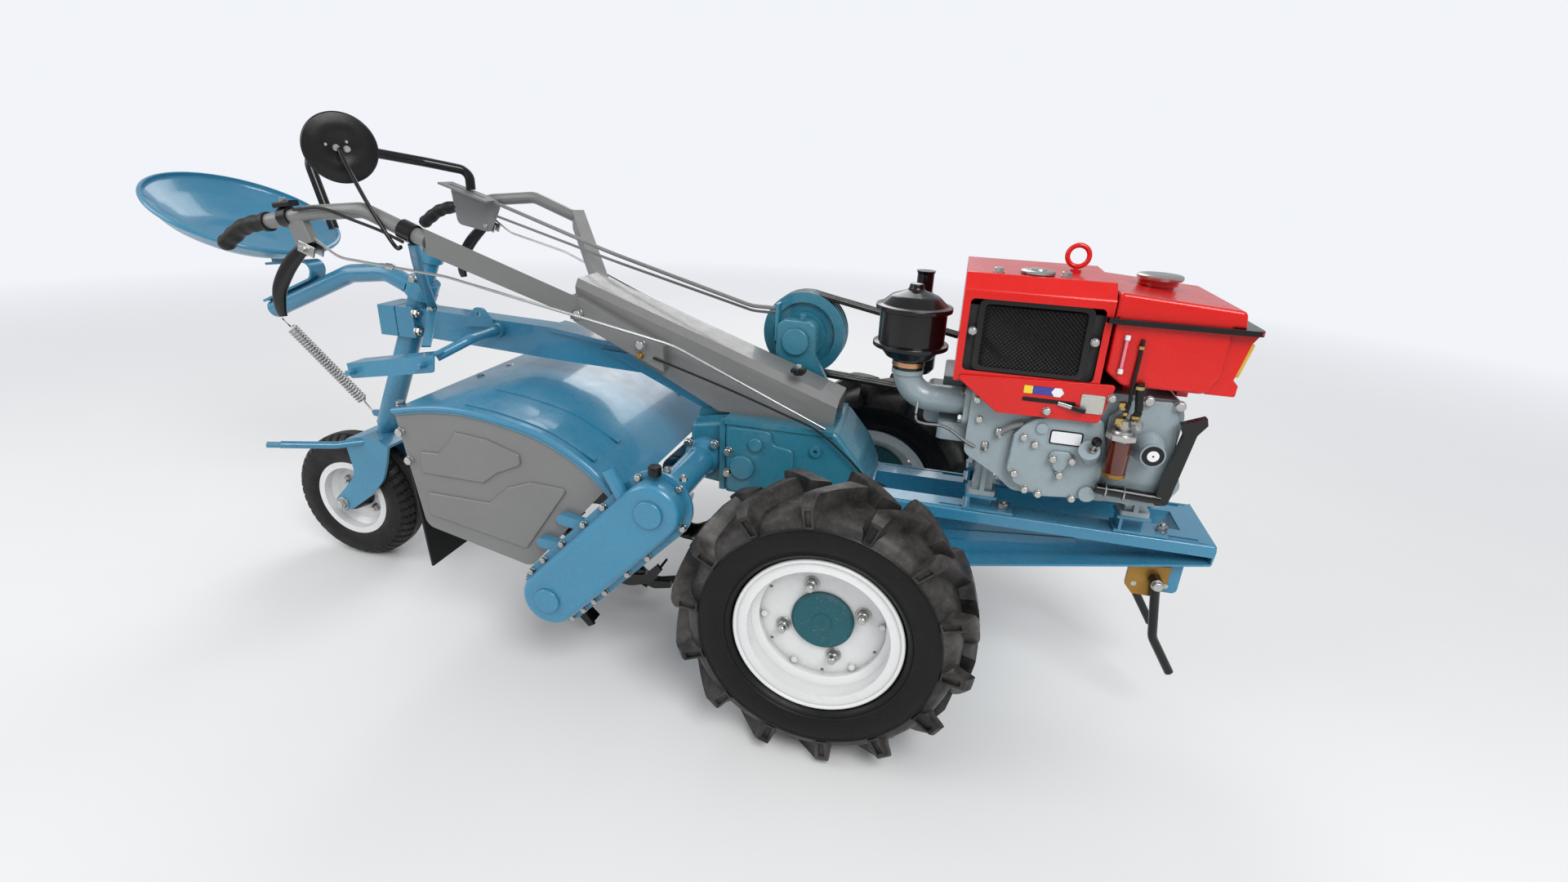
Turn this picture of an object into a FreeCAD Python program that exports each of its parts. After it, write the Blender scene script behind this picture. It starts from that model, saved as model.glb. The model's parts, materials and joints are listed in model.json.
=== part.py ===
"""Walking tractor with a single-cylinder engine, rotary tiller, seat and tail wheel."""
import FreeCAD, Part
import math
import os
from collections import namedtuple

V = FreeCAD.Vector
AXIS_Y = V(0, 1, 0)
AXIS_Z = V(0, 0, 1)

# Driving dimensions in millimetres
# X runs forwards from the drive axle, Y to the left, Z up from the ground
REAR_REACH = 1930
FRONT_REACH = 788
RUNNING_GAP = 0.05
SEAT_GAP = 0.3

# Drive wheels
TRACK = 750
LUG_TIP_R = 317
LUGS_PER_SIDE = 14
LUG_TIP_WIDTH = 34
LUG_SWEEP = 84
LUG_BASE_R = 262
LUG_END_R = 249
TREAD_R = 287
TYRE_HALF_WIDTH = 83
FACETS_PER_LUG = 3
RIM_R = 176
RIM_HALF_WIDTH = 66
RIM_SEAT_R = 152
RIM_WELL_R = 138
RIM_WALL = 4
RIM_LIP_R = 4.5
DISC_WALL = 8
HUB_CAP_R = 66
HUB_CAP_RISE = 12
HUB_BARREL_R = 48
HUB_FLANGE_MARGIN = 20
STUD_CIRCLE_R = 87.5
STUD_R = 8
STUD_LENGTH = 26
STUD_COUNT = 4
STUD_START = -19
VENT_CIRCLE_R = 128
VENT_R = 4
VENT_COUNT = 6
VENT_START = -3
SHAFT_R = 24

# The lugs overlap along the ground, so the wheel always stands on a full lug
LUG_PITCH = 180 / LUGS_PER_SIDE
AXLE_Z = LUG_TIP_R

# Stations of a lug from its shoulder end to the centre line; shares are of the sweep and the width
Station = namedtuple("Station", "sweep width top_y top_r base_y base_r")
LUG_STATIONS = [
    Station(0, 0.75, TYRE_HALF_WIDTH + 3, LUG_END_R, TYRE_HALF_WIDTH - 14, LUG_END_R + 2),
    Station(0, 0.8, TYRE_HALF_WIDTH + 3, LUG_TIP_R - 20, TYRE_HALF_WIDTH - 22, LUG_BASE_R - 6),
    Station(0.06, 1, 64, LUG_TIP_R - 2, 48, LUG_BASE_R),
    Station(0.45, 1, 34, LUG_TIP_R, 30, LUG_BASE_R),
    Station(1, 1.25, -9, LUG_TIP_R, -9, LUG_BASE_R)]

# Frame
RAIL_HALF = 108
RAIL_WEB_Y = 48
RAIL_TOP = 484
RAIL_REAR_X = 40
RAIL_TAPER_X = 291
RAIL_DEPTH_REAR = 141
RAIL_DEPTH_FRONT = 48
RAIL_LIP = 27
PLATE = 5
NOSE_WIDTH = 60
SLOT_Y = 88
SLOT_BACK = (508, 108)
SLOT_LENGTH = 150
SLOT_HALF = 5.5
TIE_X = (300, 345)
TIE_DROP = 100
WEB_BEAD = [(-160, 40), (220, 75)]
WEB_BEAD_R = 11
TOP_BEAD = (94, 100, 1.5)

# Front stand
STAND_X = FRONT_REACH - 97
STAND_Z = 374
STAND_PIN_R = 7
STAND_LEG_R = 10
STAND_LEG_Y = 100
STAND_EYE_R = 14
STAND_EAR = (58, 51)
STAND_EAR_LOW = 345
STAND_EAR_Y = 80
STAND_EAR_WALL = 6
STAND_LEG = [(23, -140), (77, -225)]
STAND_BEND = 50

# Gearbox and axle tubes
BOX_HALF = 108
BOX_TOP = 630
BOX_REAR_X = -310
BOX_BOTTOM_REAR = 437
BOX_NOSE_X = 40
BOX_EDGE_R = 12
BOX_FLANGE = 12
BOX_FLANGE_FRONT = -50
FINAL_DRIVE_R = 88
AXLE_TUBE_R = 46
AXLE_TUBE_END = 262
AXLE_FLANGE_R = 78
AXLE_FLANGE = 14
AXLE_COLLAR_R = 56
COVER_RISE = 7
BOSS_RISE = 16
COVER_CORNER_R = 14
COVER_EDGE_R = 3
GEARBOX_SIDE = [(BOX_REAR_X, BOX_BOTTOM_REAR, 10), (BOX_REAR_X, BOX_TOP, 8), (-45, BOX_TOP, 30),
                (14, 560, 60),
                (BOX_NOSE_X, 500, 40), (BOX_NOSE_X, 345, 40), (-60, 250, 20), (-150, 330, 20),
                (-220, BOX_BOTTOM_REAR, 30)]
GEARBOX_COVER = [(-302, 448), (-302, 612), (-196, 612), (-190, 580), (-140, 572), (-140, 470), (-200, 448)]
GEARBOX_WEDGE = [(-118, 502), (-92, 528), (-36, 468), (-58, 436), (-118, 440)]
GEARBOX_JOINT = [(-220, BOX_BOTTOM_REAR), (-104, 309), (-96, 317), (-208, 446)]
GEARBOX_CAPS = [(-262, 515, 30), (-230, 577, 17)]
GEARBOX_BOSS = (-88, 578, 13, 5)

# Engine
CRANK_X = 460
CRANK_Z = 700
CRANK_R = 22
CRANK_SEAT = 41
ENGINE_BOTTOM = 568
BLOCK_REAR_X = 240
BLOCK_FRONT_X = 666
BLOCK_NEAR_Y = -150
BLOCK_FAR_Y = 110
BLOCK_TOP = 805
HEAD_REAR_X = 178
HEAD_Y = (-118, 96)
HEAD_Z = (652, 776)
FOOT_PLACES = [(263, 323), (585, 645)]
FOOT_Y = (54, 104)
FOOT_TOP = 645
FOOT_WALL = 12
MOUNT_HEIGHT = 40
MOUNT_WALL = 6
MOUNT_Y = (50, 106)
GEAR_COVER = 20
SIDE_COVER = 12
STARTER = (590, 706)
STARTER_R = 34
STARTER_REACH = 62
STARTER_CUP_R = 14
DIPSTICK = (478, 690)
DIPSTICK_R = 17
BLOCK_SIDE = [(BLOCK_REAR_X, 640, 20), (BLOCK_REAR_X, BLOCK_TOP), (BLOCK_FRONT_X - 30, BLOCK_TOP, 16),
              (BLOCK_FRONT_X - 20, 772, 20), (BLOCK_FRONT_X - 22, 700, 30), (BLOCK_FRONT_X + 6, 622, 20),
              (BLOCK_FRONT_X - 20, ENGINE_BOTTOM + 6, 20), (350, ENGINE_BOTTOM, 30), (310, 600, 20)]
ROCKER_COVER = [(HEAD_REAR_X - 34, 668, 14), (HEAD_REAR_X - 34, 742, 14), (HEAD_REAR_X + 1, 742),
                (HEAD_REAR_X + 1, 668)]
ROCKER_Y = (-60, 40)
GEAR_PLAN = [(330, 622), (334, 700), (350, 722), (372, 740), (402, 748), (498, 752), (514, 700), (518, 600),
             (484, 578), (403, 570), (348, 594)]
SIDE_PLAN = [(508, 590), (508, 760), (548, 800), (620, 802), (634, 770), (640, 702), (652, 640), (640, 585),
             (580, 574)]
TRIANGLE_PLAN = [(402, 678), (460, 678), (431, 618)]
LABEL_X = (400, 470)
LABEL_Z = (690, 722)
PLUG = (495, 592, 17)
PIP = (386, 722, 11)
GEAR_CORNER_R = 12

# Hood, tank and covers
HOOD_REAR_X = 197
HOOD_FRONT_X = 474
HOOD_TOP = 1018
HOOD_NEAR_Y = -180
HOOD_FAR_Y = 120
HOOD_CHAMFER = 30
HOOD_CORNER_R = 10
HOOD_WALL = 2
GRILLE_X = (211, 461)
GRILLE_Z = (828, 972)
CORE_DROP = 60
TANK_FRONT_X = 700
TANK_BOTTOM = 830
TANK_SEAM = 958
TANK_REST_Z = 1006
TANK_SLOPE = 16
TANK_BAND = 6
TANK_BAND_REACH = 10
TANK_WALL = 3
TANK_NEAR_Y = -186
TANK_FAR_Y = 124
FILLER_X = 578
FILLER_R = 38
FILLER_TOP = 1016
SADDLE_X = (530, 630)
SADDLE_Y = (-120, 90)
LAMP_X = 722
LAMP_Y = (-160, 100)
LAMP_Z = (862, 932)
LAMP_DEPTH = 26
SHEET = 3
PANEL_SIDE = [(HOOD_REAR_X, 818, 6), (504, 830, 6), (486, 750, 8), (291, 748, 14)]
LOUVRE_Z = (850, 960, 22)
LOUVRE_GAP = 10
EYE_X = 412
EYE_Y = -30
EYE_R = 26
EYE_BAR_R = 5

# Air cleaner, elbow and silencer
AIR_X = 100
AIR_Y = -100
AIR_R = 70
AIR_BRIM_R = 80
AIR_BOTTOM = 822
AIR_TOP = 966
AIR_NECK_R = 33
ELBOW_R = 30
ELBOW_BEND = 56
ELBOW_Z = 738
ELBOW_TOP = 797.7
ELBOW_FLANGE = 12
ELBOW_FLANGE_HALF = 42
MUFFLER_X = 108
MUFFLER_Y = 70
MUFFLER_R = 44
MUFFLER_Z = (745, 930)
STACK_R = 19
STACK_TOP = 983
EXHAUST_R = 20
EXHAUST_Z = 700

# Belt drive
FLYWHEEL_R = 190
FLYWHEEL_NEAR_Y = 128
FLYWHEEL_WIDTH = 36
FLYWHEEL_RECESS = (84, 160, 10)
BELT_PLANE_Y = 200
BELT_COUNT = 3
BELT_PITCH = 19
BELT_WIDTH = 13
BELT_HEIGHT = 8
BELT_STACK = BELT_COUNT * BELT_PITCH + 4
CLUTCH_X = -190
CLUTCH_Z = 785
CLUTCH_PULLEY_R = 107
CLUTCH_SHAFT_R = 14
CLUTCH_HALF = 50
CLUTCH_CAP_R = 34
CLUTCH_LEG = [(-224, 755), (-146, 765), (-86, 660, 20), (-70, BOX_TOP), (-215, BOX_TOP), (-196, 660, 20)]
CLUTCH_FOOT = (-225, -62)
CLUTCH_ARM_X = (-246, -238)
CLUTCH_ARM_Y = (84, 116)
CLUTCH_ARM_TOP = 872
ENGINE_PULLEY_R = 66
GROOVE_SLACK = 0.6

# Fuel filter and crank handle
FILTER_X = 529
FILTER_Y = -196
FILTER_R = 27
FILTER_Z = (660, 752)
HANDLE_SHAFT_Z = 606
HANDLE_SHAFT_R = 11
HANDLE_ARM_X = 630
HANDLE_ARM_Y = (-190, -172)
HANDLE_PEG = (672, 786)

# Tiller, with the cross tube's axis set back so that the chain case clears the drive tyre
CASE_TOP_Z = 516
CASE_R = 80
CASE_CLEAR = 23.12
TILLER_X = -math.sqrt((LUG_TIP_R + CASE_R + CASE_CLEAR) ** 2 - (CASE_TOP_Z - AXLE_Z) ** 2)
ROTOR_X = TILLER_X - 250
ROTOR_Z = 258
ROTOR_SHAFT_R = 18
ROTOR_BARREL_R = 28
TINE_COUNT = 18
TINE_TURN = 100
TINE_WALL = 8
TINE_WIDTH = 44
CASE_NEAR_Y = -424
CASE_DEPTH = 56
CASE_FLANGE = 8
CASE_RIM = 15
CASE_SHOULDER = 13
CASE_BOSS = 7
CASE_BOSS_R = (31, 30)
CROSS_TUBE_R = 36
CROSS_FLANGE_R = 46
CROSS_FLANGE = 14
TILLER_HALF = 350
HOOD_LIP = 14
HOOD_BEND = 350
SIDE_PLATE_Y = TILLER_HALF - SHEET - SEAT_GAP
HOOD_PLAN = [(-647, 640), (-559, 657), (-476, 663), (-396, 655), (-279, 632), (-167, 573), (-100, 500)]
HOOD_LINE = [(TILLER_X + x, z) for x, z in HOOD_PLAN]
BEAD_RISE = 3
BEAD_Y = (200, 316)
PLATE_TIP = 0.66
PLATE_FRONT = [(-138, 512, 6), (-330, 290, 30), (-602, 352, 30)]
PAD_RISE = 5
PAD_UPPER = [(-591, 492), (-591, 545), (-542, 547), (-506, 584), (-493, 606), (-411, 599), (-333, 574),
             (-333, 548), (-394, 520), (-432, 490)]
PAD_LOWER = [(-587, 385), (-587, 443), (-423, 442), (-372, 488), (-312, 511), (-220, 508), (-336, 338)]
FLAP_FOOT = (-611, 236)
FLAP_WALL = 5
CASE_LUGS = [[(-175, 430), (-230, 440)], [(-230, 365), (-285, 372)]]
CASE_LUG_R = 12
CASE_FILLER = (-92, 576, 15)
TILLER_BOX_REAR = TILLER_X - 40
TILLER_BOX_HALF = 70
TILLER_BOX_SIDE = [(TILLER_BOX_REAR, 450, 20), (TILLER_BOX_REAR, 590, 12), (BOX_REAR_X - 14, 606),
                   (BOX_REAR_X - 14, 440)]
TILLER_CAP_TOP = [(TILLER_X - 24, 625), (TILLER_X + 40, 634)]
TILLER_CAP_HALF = 42
TILLER_RIB_Y = (-56, 56)
BEARING_WALL = 12
BEARING_R = 46
BEARING_BOSS = 34

# Handlebar
BEAM_REAR = (-705, 916)
BEAM_FRONT = (-50, 690)
BEAM_HEEL = (-700, 812)
BEAM_BELLY = (-340, 630)
BEAM_HALF = 65
BEAM_WALL = 4
BEAM_CHAMFER = 16
ARM_HALF = 13
ARM_HEIGHT = 62
ARM_Y = BEAM_HALF + ARM_HALF
ARM_FRONT = (-470, 750)
ARM_BEND = (-700, 852)
ARM_END = (-900, 1014)
BAR_R = 16
BAR_BEND = 60
GRIP_R = 18
HANDLE_HALF = 320
HANDLE_RUN = [(-1035, 1066), (-1170, 1052), (-1290, 1026)]
GRIP_RUN = [(-1360, 1010), (-1422, 968)]
LEVER_R = 8
LEVER_RUN = [(-1209, 1000), (-1252, 962), (-1325, 895), (-1370, 815)]
LEVER_BRACKET = (-1232, -1188)
LINK_ROD_R = 3
LINK_RUN = [(-1120, 962), (-910, 930)]
LINK_FOOT = [(-440, 108, 792), (-70, 104, BOX_TOP + LINK_ROD_R + SEAT_GAP)]
CONSOLE_SIDE = [(-1298, 1094, 16), (-1132, 1046, 16), (-1176, 960, 20), (-1284, 978, 20)]
CONSOLE_TOP = [(-1290, 1096), (-1140, 1053)]
CONSOLE_DEPTH = 64
CONSOLE_WALL = 4
CONSOLE_SLOT = [(-1270, 1110), (-1160, 1080), (-1166, 1030), (-1276, 1060)]
CONSOLE_SLOT_Y = (30, 42)
CONSOLE_BARS = [(-1150, 20, 1050, [(-690, 92, 962), (-310, 94, 860)], 5),
                (-1160, 2, 1010, [(-690, 106, 940), (-310, 108, 845)], 3.5)]
CLUTCH_LEVER_R = 13
CLUTCH_LEVER_X = -1216
CLUTCH_LEVER_RUN = [(-1300, 214, 1148), (-1420, 150, 1168), (-1590, 100, 1176), (-1525, 90, 964)]
MIRROR = (-1092, 20 - HANDLE_HALF, 1184)
MIRROR_CLAMP = (-985, -945)
MIRROR_STALK = (-968, 1046)
MIRROR_R = 70
MIRROR_DEPTH = 12
MIRROR_ROD_R = 4

# Post, tool beam and pedal
POST_TOP = (-1147, 930)
POST_FOOT = (-1366, 440)
POST_R = 30
POST_NECK_R = 24
POST_CAP_R = 32
KINGPIN_R = 17
CLAMP_X = (-1296, -1190)
CLAMP_Z = (718, 798)
CLAMP_HALF = 46
CLAMP_SPLIT = 4
TOOL_BEAM_HALF = 30
TAB_HOLE = (-998, 797.5)
TAB_HOLE_R = 6
TAB_WALL = 8
TOOL_BEAM_SIDE = [(-1240, 796), (-1240, 722), (-800, 700), (-500, 690), (-500, 745), (-800, 782)]
TOOL_PLATE = [(-800, 776), (-800, 786), (-500, 748), (-500, 740)]
TOOL_PLATE_HALF = 42
TAB_SIDE = [(-1040, 764), (-1010, 814, 8), (-986, 814, 8), (-950, 768)]
STRUT_TOP = [(-660, 742), (-560, 738)]
STRUT_WALL = 8
PEDAL_Y = (-240, -184)
PEDAL_WALL = 4
PEDAL_BAR_R = 12
PEDAL_TOP = [(-1231, 694), (-980, 742)]
PEDAL_LOW = [(-987, 699, 8), (-1226, 657, 8)]
PEDAL_PINS = [(-1212, 677), (-1010, 716)]
PEDAL_PIN_R = 7
PEDAL_PIN_REACH = 22
PEDAL_LUG = (-948, 762, 19)
PEDAL_LUG_WALL = 16

# Tail wheel
TAIL_AXLE_X = -1498
TAIL_WHEEL_R = 196
TAIL_WHEEL_HALF = 52
TAIL_FACETS = 40
TAIL_RIM_R = 116
TAIL_RIM_SEAT_R = 102
TAIL_RIM_HALF = 44
TAIL_HUB_R = 40
TAIL_PIN_R = 10
FORK_HALF = 78
FORK_WALL = 9
CROWN_Z = (394, 408)
CROWN_SIDE = [(-1452, CROWN_Z[0]), (-1446, CROWN_Z[1], 8), (-1400, 418, 20), (-1336, 416, 12),
              (-1308, 400, 4),
              (-1312, CROWN_Z[0])]
FORK_LEG = [(-1308, 400), (-1322, 349, 20), (-1342, 292, 60), (-1395, 235, 60), (-1462, 186, 30),
            (-1505, 166, 24), (-1528, 200, 24), (-1479, 250, 40), (-1435, 300, 60), (-1452, 400)]
FOOT_BAR = [(-1380, 60, 404), (-1440, 118, 404), (-1530, 205, 426)]
FOOT_BAR_R = 10
FOOT_REST = [(-1505, 183, 420), (-1552, 226, 431)]

# Seat
SEAT_X = -1715
SEAT_Z = 1002
SEAT_R = 216
SEAT_TILT = 24
SEAT_DEPTH = 74
SEAT_WALL = 3
SEAT_LIP_R = 7
SEAT_TUBE = [(-1222, 846), (-1290, 876), (-1406, 863), (-1683, 742)]
SEAT_TUBE_R = 24
SEAT_TUBE_BEND = 70
SPRING_LEAF = 6
SPRING_HALF = 24
SPRING_RUN = 190
SPRING_RISE = (15, 47)
SPRING_END = (-1660, 871.5)
SPRING_BEND = 21
SEAT_PAD = (-1640, -1590)
SPRING_WIRE_R = 2.5
SPRING_COIL_R = 13
SPRING_HOOK = ((-1442, 0, 502), (-1408, 0, 466))


def box(x, y, z):
    """A block between two bounds on each axis."""
    return Part.makeBox(x[1] - x[0], y[1] - y[0], z[1] - z[0], V(x[0], y[0], z[0]))


def both(low, high):
    """Bounds on the left and on the right of the centre plane."""
    return ((low, high), (-high, -low))


def rod(start, end, radius):
    """A round bar between two points."""
    start = V(*start)
    line = V(*end) - start
    return Part.makeCylinder(radius, line.Length, start, line)


def disc_y(x, z, radius, y):
    """A round plate whose axis lies along Y."""
    return Part.makeCylinder(radius, y[1] - y[0], V(x, y[0], z), AXIS_Y)


def ring_y(x, z, outer, inner, y):
    """A ring whose axis lies along Y."""
    return disc_y(x, z, outer, y).cut(disc_y(x, z, inner, y))


def rounded_wire(points, radius, place):
    """A closed outline with rounded corners; a corner may bring its own radius."""
    corners = [place(p[0], p[1]) for p in points]
    radii = [p[2] if len(p) > 2 else radius for p in points]
    arcs = []
    for number, corner in enumerate(corners):
        into = (corner - corners[number - 1]).normalize()
        out = (corners[(number + 1) % len(corners)] - corner).normalize()
        turn = into.getAngle(out)
        reach = radii[number] * math.tan(turn / 2)
        crown = corner
        if reach > 0:
            crown = corner + (out - into).normalize() * (radii[number] / math.cos(turn / 2) - radii[number])
        arcs.append((corner - into * reach, crown, corner + out * reach))
    edges = []
    for number, (first, crown, last) in enumerate(arcs):
        if first.distanceToPoint(last) > 0:
            edges.append(Part.Arc(first, crown, last).toShape())
        following = arcs[(number + 1) % len(arcs)][0]
        if last.distanceToPoint(following) > 0.001:
            edges.append(Part.makeLine(last, following))
    return Part.Wire(edges)


def outline(points, radius, place):
    """A flat face through points, each put in space by place."""
    return Part.Face(rounded_wire(points, radius, place))


def slab_y(points, y, radius=0):
    """A plate from an outline in X and Z, between two Y bounds."""
    return outline(points, radius, lambda px, pz: V(px, y[0], pz)).extrude(V(0, y[1] - y[0], 0))


def slab_z(points, z, radius=0):
    """A plate from an outline in X and Y, between two Z bounds."""
    return outline(points, radius, lambda px, py: V(px, py, z[0])).extrude(V(0, 0, z[1] - z[0]))


def slab_x(points, x, radius=0):
    """A plate from an outline in Y and Z, between two X bounds."""
    return outline(points, radius, lambda py, pz: V(x[0], py, pz)).extrude(V(x[1] - x[0], 0, 0))


def softened(shape, radius, planes):
    """The shape with the edges that lie in these planes across Y rounded."""
    def lies(edge):
        bounds = edge.BoundBox
        return any(abs(bounds.YMin - y) < 0.01 and abs(bounds.YMax - y) < 0.01 for y in planes)
    return shape.makeFillet(radius, [edge for edge in shape.Edges if lies(edge)])


def bent_edges(points, radius):
    """Straight runs joined by tangent arcs; radius is one value or one per bend."""
    corners = [V(*p) for p in points]
    radii = radius if isinstance(radius, list) else [radius] * (len(points) - 2)
    edges = []
    start = corners[0]
    for before, corner, after, bend in zip(corners, corners[1:], corners[2:], radii):
        into = (corner - before).normalize()
        out = (after - corner).normalize()
        turn = into.getAngle(out)
        reach = bend * math.tan(turn / 2)
        first = corner - into * reach
        last = corner + out * reach
        crown = corner + (out - into).normalize() * (bend / math.cos(turn / 2) - bend)
        edges.append(Part.makeLine(start, first))
        edges.append(Part.Arc(first, crown, last).toShape())
        start = last
    edges.append(Part.makeLine(start, corners[-1]))
    return edges


def bent_bar(points, bend, radius):
    """A round bar along straight runs and bends."""
    start = V(*points[0])
    profile = Part.Wire([Part.makeCircle(radius, start, V(*points[1]) - start)])
    return Part.Wire(bent_edges(points, bend)).makePipeShell([profile], True, True)


def carried(points, drop):
    """A line of corners in X and Z carried square to its runs, down where drop is positive."""
    normals = []
    for (ax, az), (bx, bz) in zip(points, points[1:]):
        length = math.hypot(bx - ax, bz - az)
        normals.append(((bz - az) / length, -(bx - ax) / length))
    moved = []
    for number, (x, z) in enumerate(points):
        before = normals[max(number - 1, 0)]
        after = normals[min(number, len(normals) - 1)]
        share = drop / (1 + before[0] * after[0] + before[1] * after[1])
        moved.append((x + (before[0] + after[0]) * share, z + (before[1] + after[1]) * share))
    return moved


def bent_sheet(points, bend, thickness, y):
    """A sheet below a bent line in X and Z, between two Y bounds; it bends downwards."""
    upper = [(px, y[0], pz) for px, pz in points]
    lower = [(px, y[0], pz) for px, pz in carried(points, thickness)]
    edges = bent_edges(upper, bend) + bent_edges(lower, bend - thickness)
    ends = [Part.makeLine(V(*upper[0]), V(*lower[0])), Part.makeLine(V(*upper[-1]), V(*lower[-1]))]
    wire = Part.Wire(Part.__sortEdges__(edges + ends))
    return Part.Face(wire).extrude(V(0, y[1] - y[0], 0))


def bent_strip(points, bend, y, thickness):
    """A flat strip bent in the X-Z plane, as wide as its Y bounds."""
    path = Part.Wire(bent_edges([(px, y[0], pz) for px, pz in points], bend))
    start = V(points[0][0], y[0], points[0][1])
    along = (V(points[1][0], y[0], points[1][1]) - start).normalize()
    across = along.cross(AXIS_Y) * (thickness / 2)
    wide = V(0, y[1] - y[0], 0)
    corners = [start - across, start + across, start + across + wide, start - across + wide]
    profile = Part.makePolygon(corners + corners[:1])
    return path.makePipeShell([profile], True, True)


def box_bar(start, end, half, height):
    """A bar of rectangular section with its height upright."""
    (ax, ay, _az), (bx, by, _bz) = start, end
    length = math.hypot(bx - ax, by - ay)
    nx = -(by - ay) / length * half
    ny = (bx - ax) / length * half
    tall = height / 2
    ends = []
    for x, y, z in (start, end):
        corners = [V(x + nx, y + ny, z - tall), V(x - nx, y - ny, z - tall),
                   V(x - nx, y - ny, z + tall), V(x + nx, y + ny, z + tall)]
        ends.append(Part.makePolygon(corners + corners[:1]))
    return Part.makeLoft(ends, True, True)


def turned(profile, x, z, radius=0):
    """A solid turned about an axis along Y from an outline of (y, radius)."""
    points = [(p[1], p[0]) + tuple(p[2:]) for p in profile]
    face = outline(points, radius, lambda pr, py: V(x, py, z + pr))
    return face.revolve(V(x, 0, z), AXIS_Y, 360)


def turned_z(profile, x, y, radius=0):
    """A solid turned about an upright axis from an outline of (radius, z)."""
    face = outline(profile, radius, lambda pr, pz: V(x + pr, y, pz))
    return face.revolve(V(x, y, 0), AXIS_Z, 360)


def stadium(a, b, radius, y):
    """A plate with round ends between two points in X and Z."""
    (ax, az), (bx, bz) = a, b
    length = math.hypot(bx - ax, bz - az)
    nx = -(bz - az) / length * radius
    nz = (bx - ax) / length * radius
    tx = (bx - ax) / length * radius
    tz = (bz - az) / length * radius
    ends = [V(ax + nx, y[0], az + nz), V(bx + nx, y[0], bz + nz),
            V(bx - nx, y[0], bz - nz), V(ax - nx, y[0], az - nz)]
    wire = Part.Wire([Part.makeLine(ends[0], ends[1]),
                      Part.Arc(ends[1], V(bx + tx, y[0], bz + tz), ends[2]).toShape(),
                      Part.makeLine(ends[2], ends[3]),
                      Part.Arc(ends[3], V(ax - tx, y[0], az - tz), ends[0]).toShape()])
    return Part.Face(wire).extrude(V(0, y[1] - y[0], 0))


def mirrored(shape):
    """The same piece on the other side of the centre plane."""
    return shape.mirror(V(0, 0, 0), AXIS_Y)


def sided(shape, side):
    """The left piece as it is, or its mirror for the right."""
    return shape if side > 0 else mirrored(shape)


def joined(shapes):
    """One shape from several that meet."""
    return shapes[0].multiFuse(shapes[1:]).removeSplitter()


def group(shapes):
    """Several solids that stay apart in one piece."""
    return Part.makeCompound(shapes)


def polar(x, z, radius, angle):
    """A point at an angle from straight up, turning towards +X."""
    turn = math.radians(angle)
    return x + radius * math.sin(turn), z + radius * math.cos(turn)


def faceted(profile, x, z, sides):
    """A ring of flat facets about an axis along Y from an outline of (y, radius)."""
    rings = []
    for number in range(sides):
        ring = []
        for y, radius in profile:
            px, pz = polar(x, z, radius, number * 360 / sides)
            ring.append(V(px, y, pz))
        rings.append(ring)
    faces = []
    for ring, after in zip(rings, rings[1:] + rings[:1]):
        for a, b, c, d in zip(ring, ring[1:] + ring[:1], after[1:] + after[:1], after):
            faces.append(Part.Face(Part.makePolygon([a, b, c, d, a])))
    return Part.Solid(Part.makeShell(faces))


def lug(side, centre, angle):
    """One lug as a faceted bar from its shoulder end over the tread to the centre line."""
    slope = math.degrees(LUG_SWEEP / LUG_TIP_R)
    half = math.degrees(LUG_TIP_WIDTH / 2 / LUG_TIP_R)
    rings = []
    for at in LUG_STATIONS:
        ring = []
        for turn, y, radius in ((-1, at.top_y, at.top_r), (1, at.top_y, at.top_r),
                                (1, at.base_y, at.base_r), (-1, at.base_y, at.base_r)):
            px, pz = polar(0, AXLE_Z, radius, angle + at.sweep * slope + turn * at.width * half)
            ring.append(V(px, centre + side * y, pz))
        rings.append(ring)
    faces = []
    for a, b, c, d in (rings[0], rings[-1]):
        faces += [[a, b, c], [a, c, d]]
    for ring, after in zip(rings, rings[1:]):
        for a, b, c, d in zip(ring, ring[1:] + ring[:1], after[1:] + after[:1], after):
            faces += [[a, b, c], [a, c, d]]
    solid = Part.Solid(Part.makeShell([Part.Face(Part.makePolygon(f + f[:1])) for f in faces]))
    if solid.Volume < 0:
        solid.reverse()
    return solid


def tyre(side):
    """Tyre carcass with its lugs; side is 1 for left, -1 for right."""
    centre = side * TRACK / 2
    sides = FACETS_PER_LUG * LUGS_PER_SIDE
    half = RIM_HALF_WIDTH - RIM_WALL - SEAT_GAP
    wide = TYRE_HALF_WIDTH
    outer = [(half, RIM_SEAT_R / math.cos(math.pi / sides)), (half, RIM_R + 1), (wide - 4, LUG_END_R - 32),
             (wide - 4, LUG_END_R + 6), (66, TREAD_R - 14), (34, TREAD_R)]
    profile = [(centre + y, r) for y, r in outer] + [(centre - y, r) for y, r in outer[::-1]]
    carcass = faceted(profile, 0, AXLE_Z, sides)
    lugs = []
    for face, phase in ((1, 0.5), (-1, -0.5)):
        for number in range(LUGS_PER_SIDE):
            lugs.append(lug(face, centre, 180 + (2 * number + phase) * LUG_PITCH))
    return carcass.multiFuse(lugs)


def wheel_holes(y, circle, radius, count, start):
    """Round bars through a wheel disc, evenly spaced on a circle."""
    bars = []
    for number in range(count):
        x, z = polar(0, AXLE_Z, circle, start + number * 360 / count)
        bars.append(disc_y(x, z, radius, y))
    return bars


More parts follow.
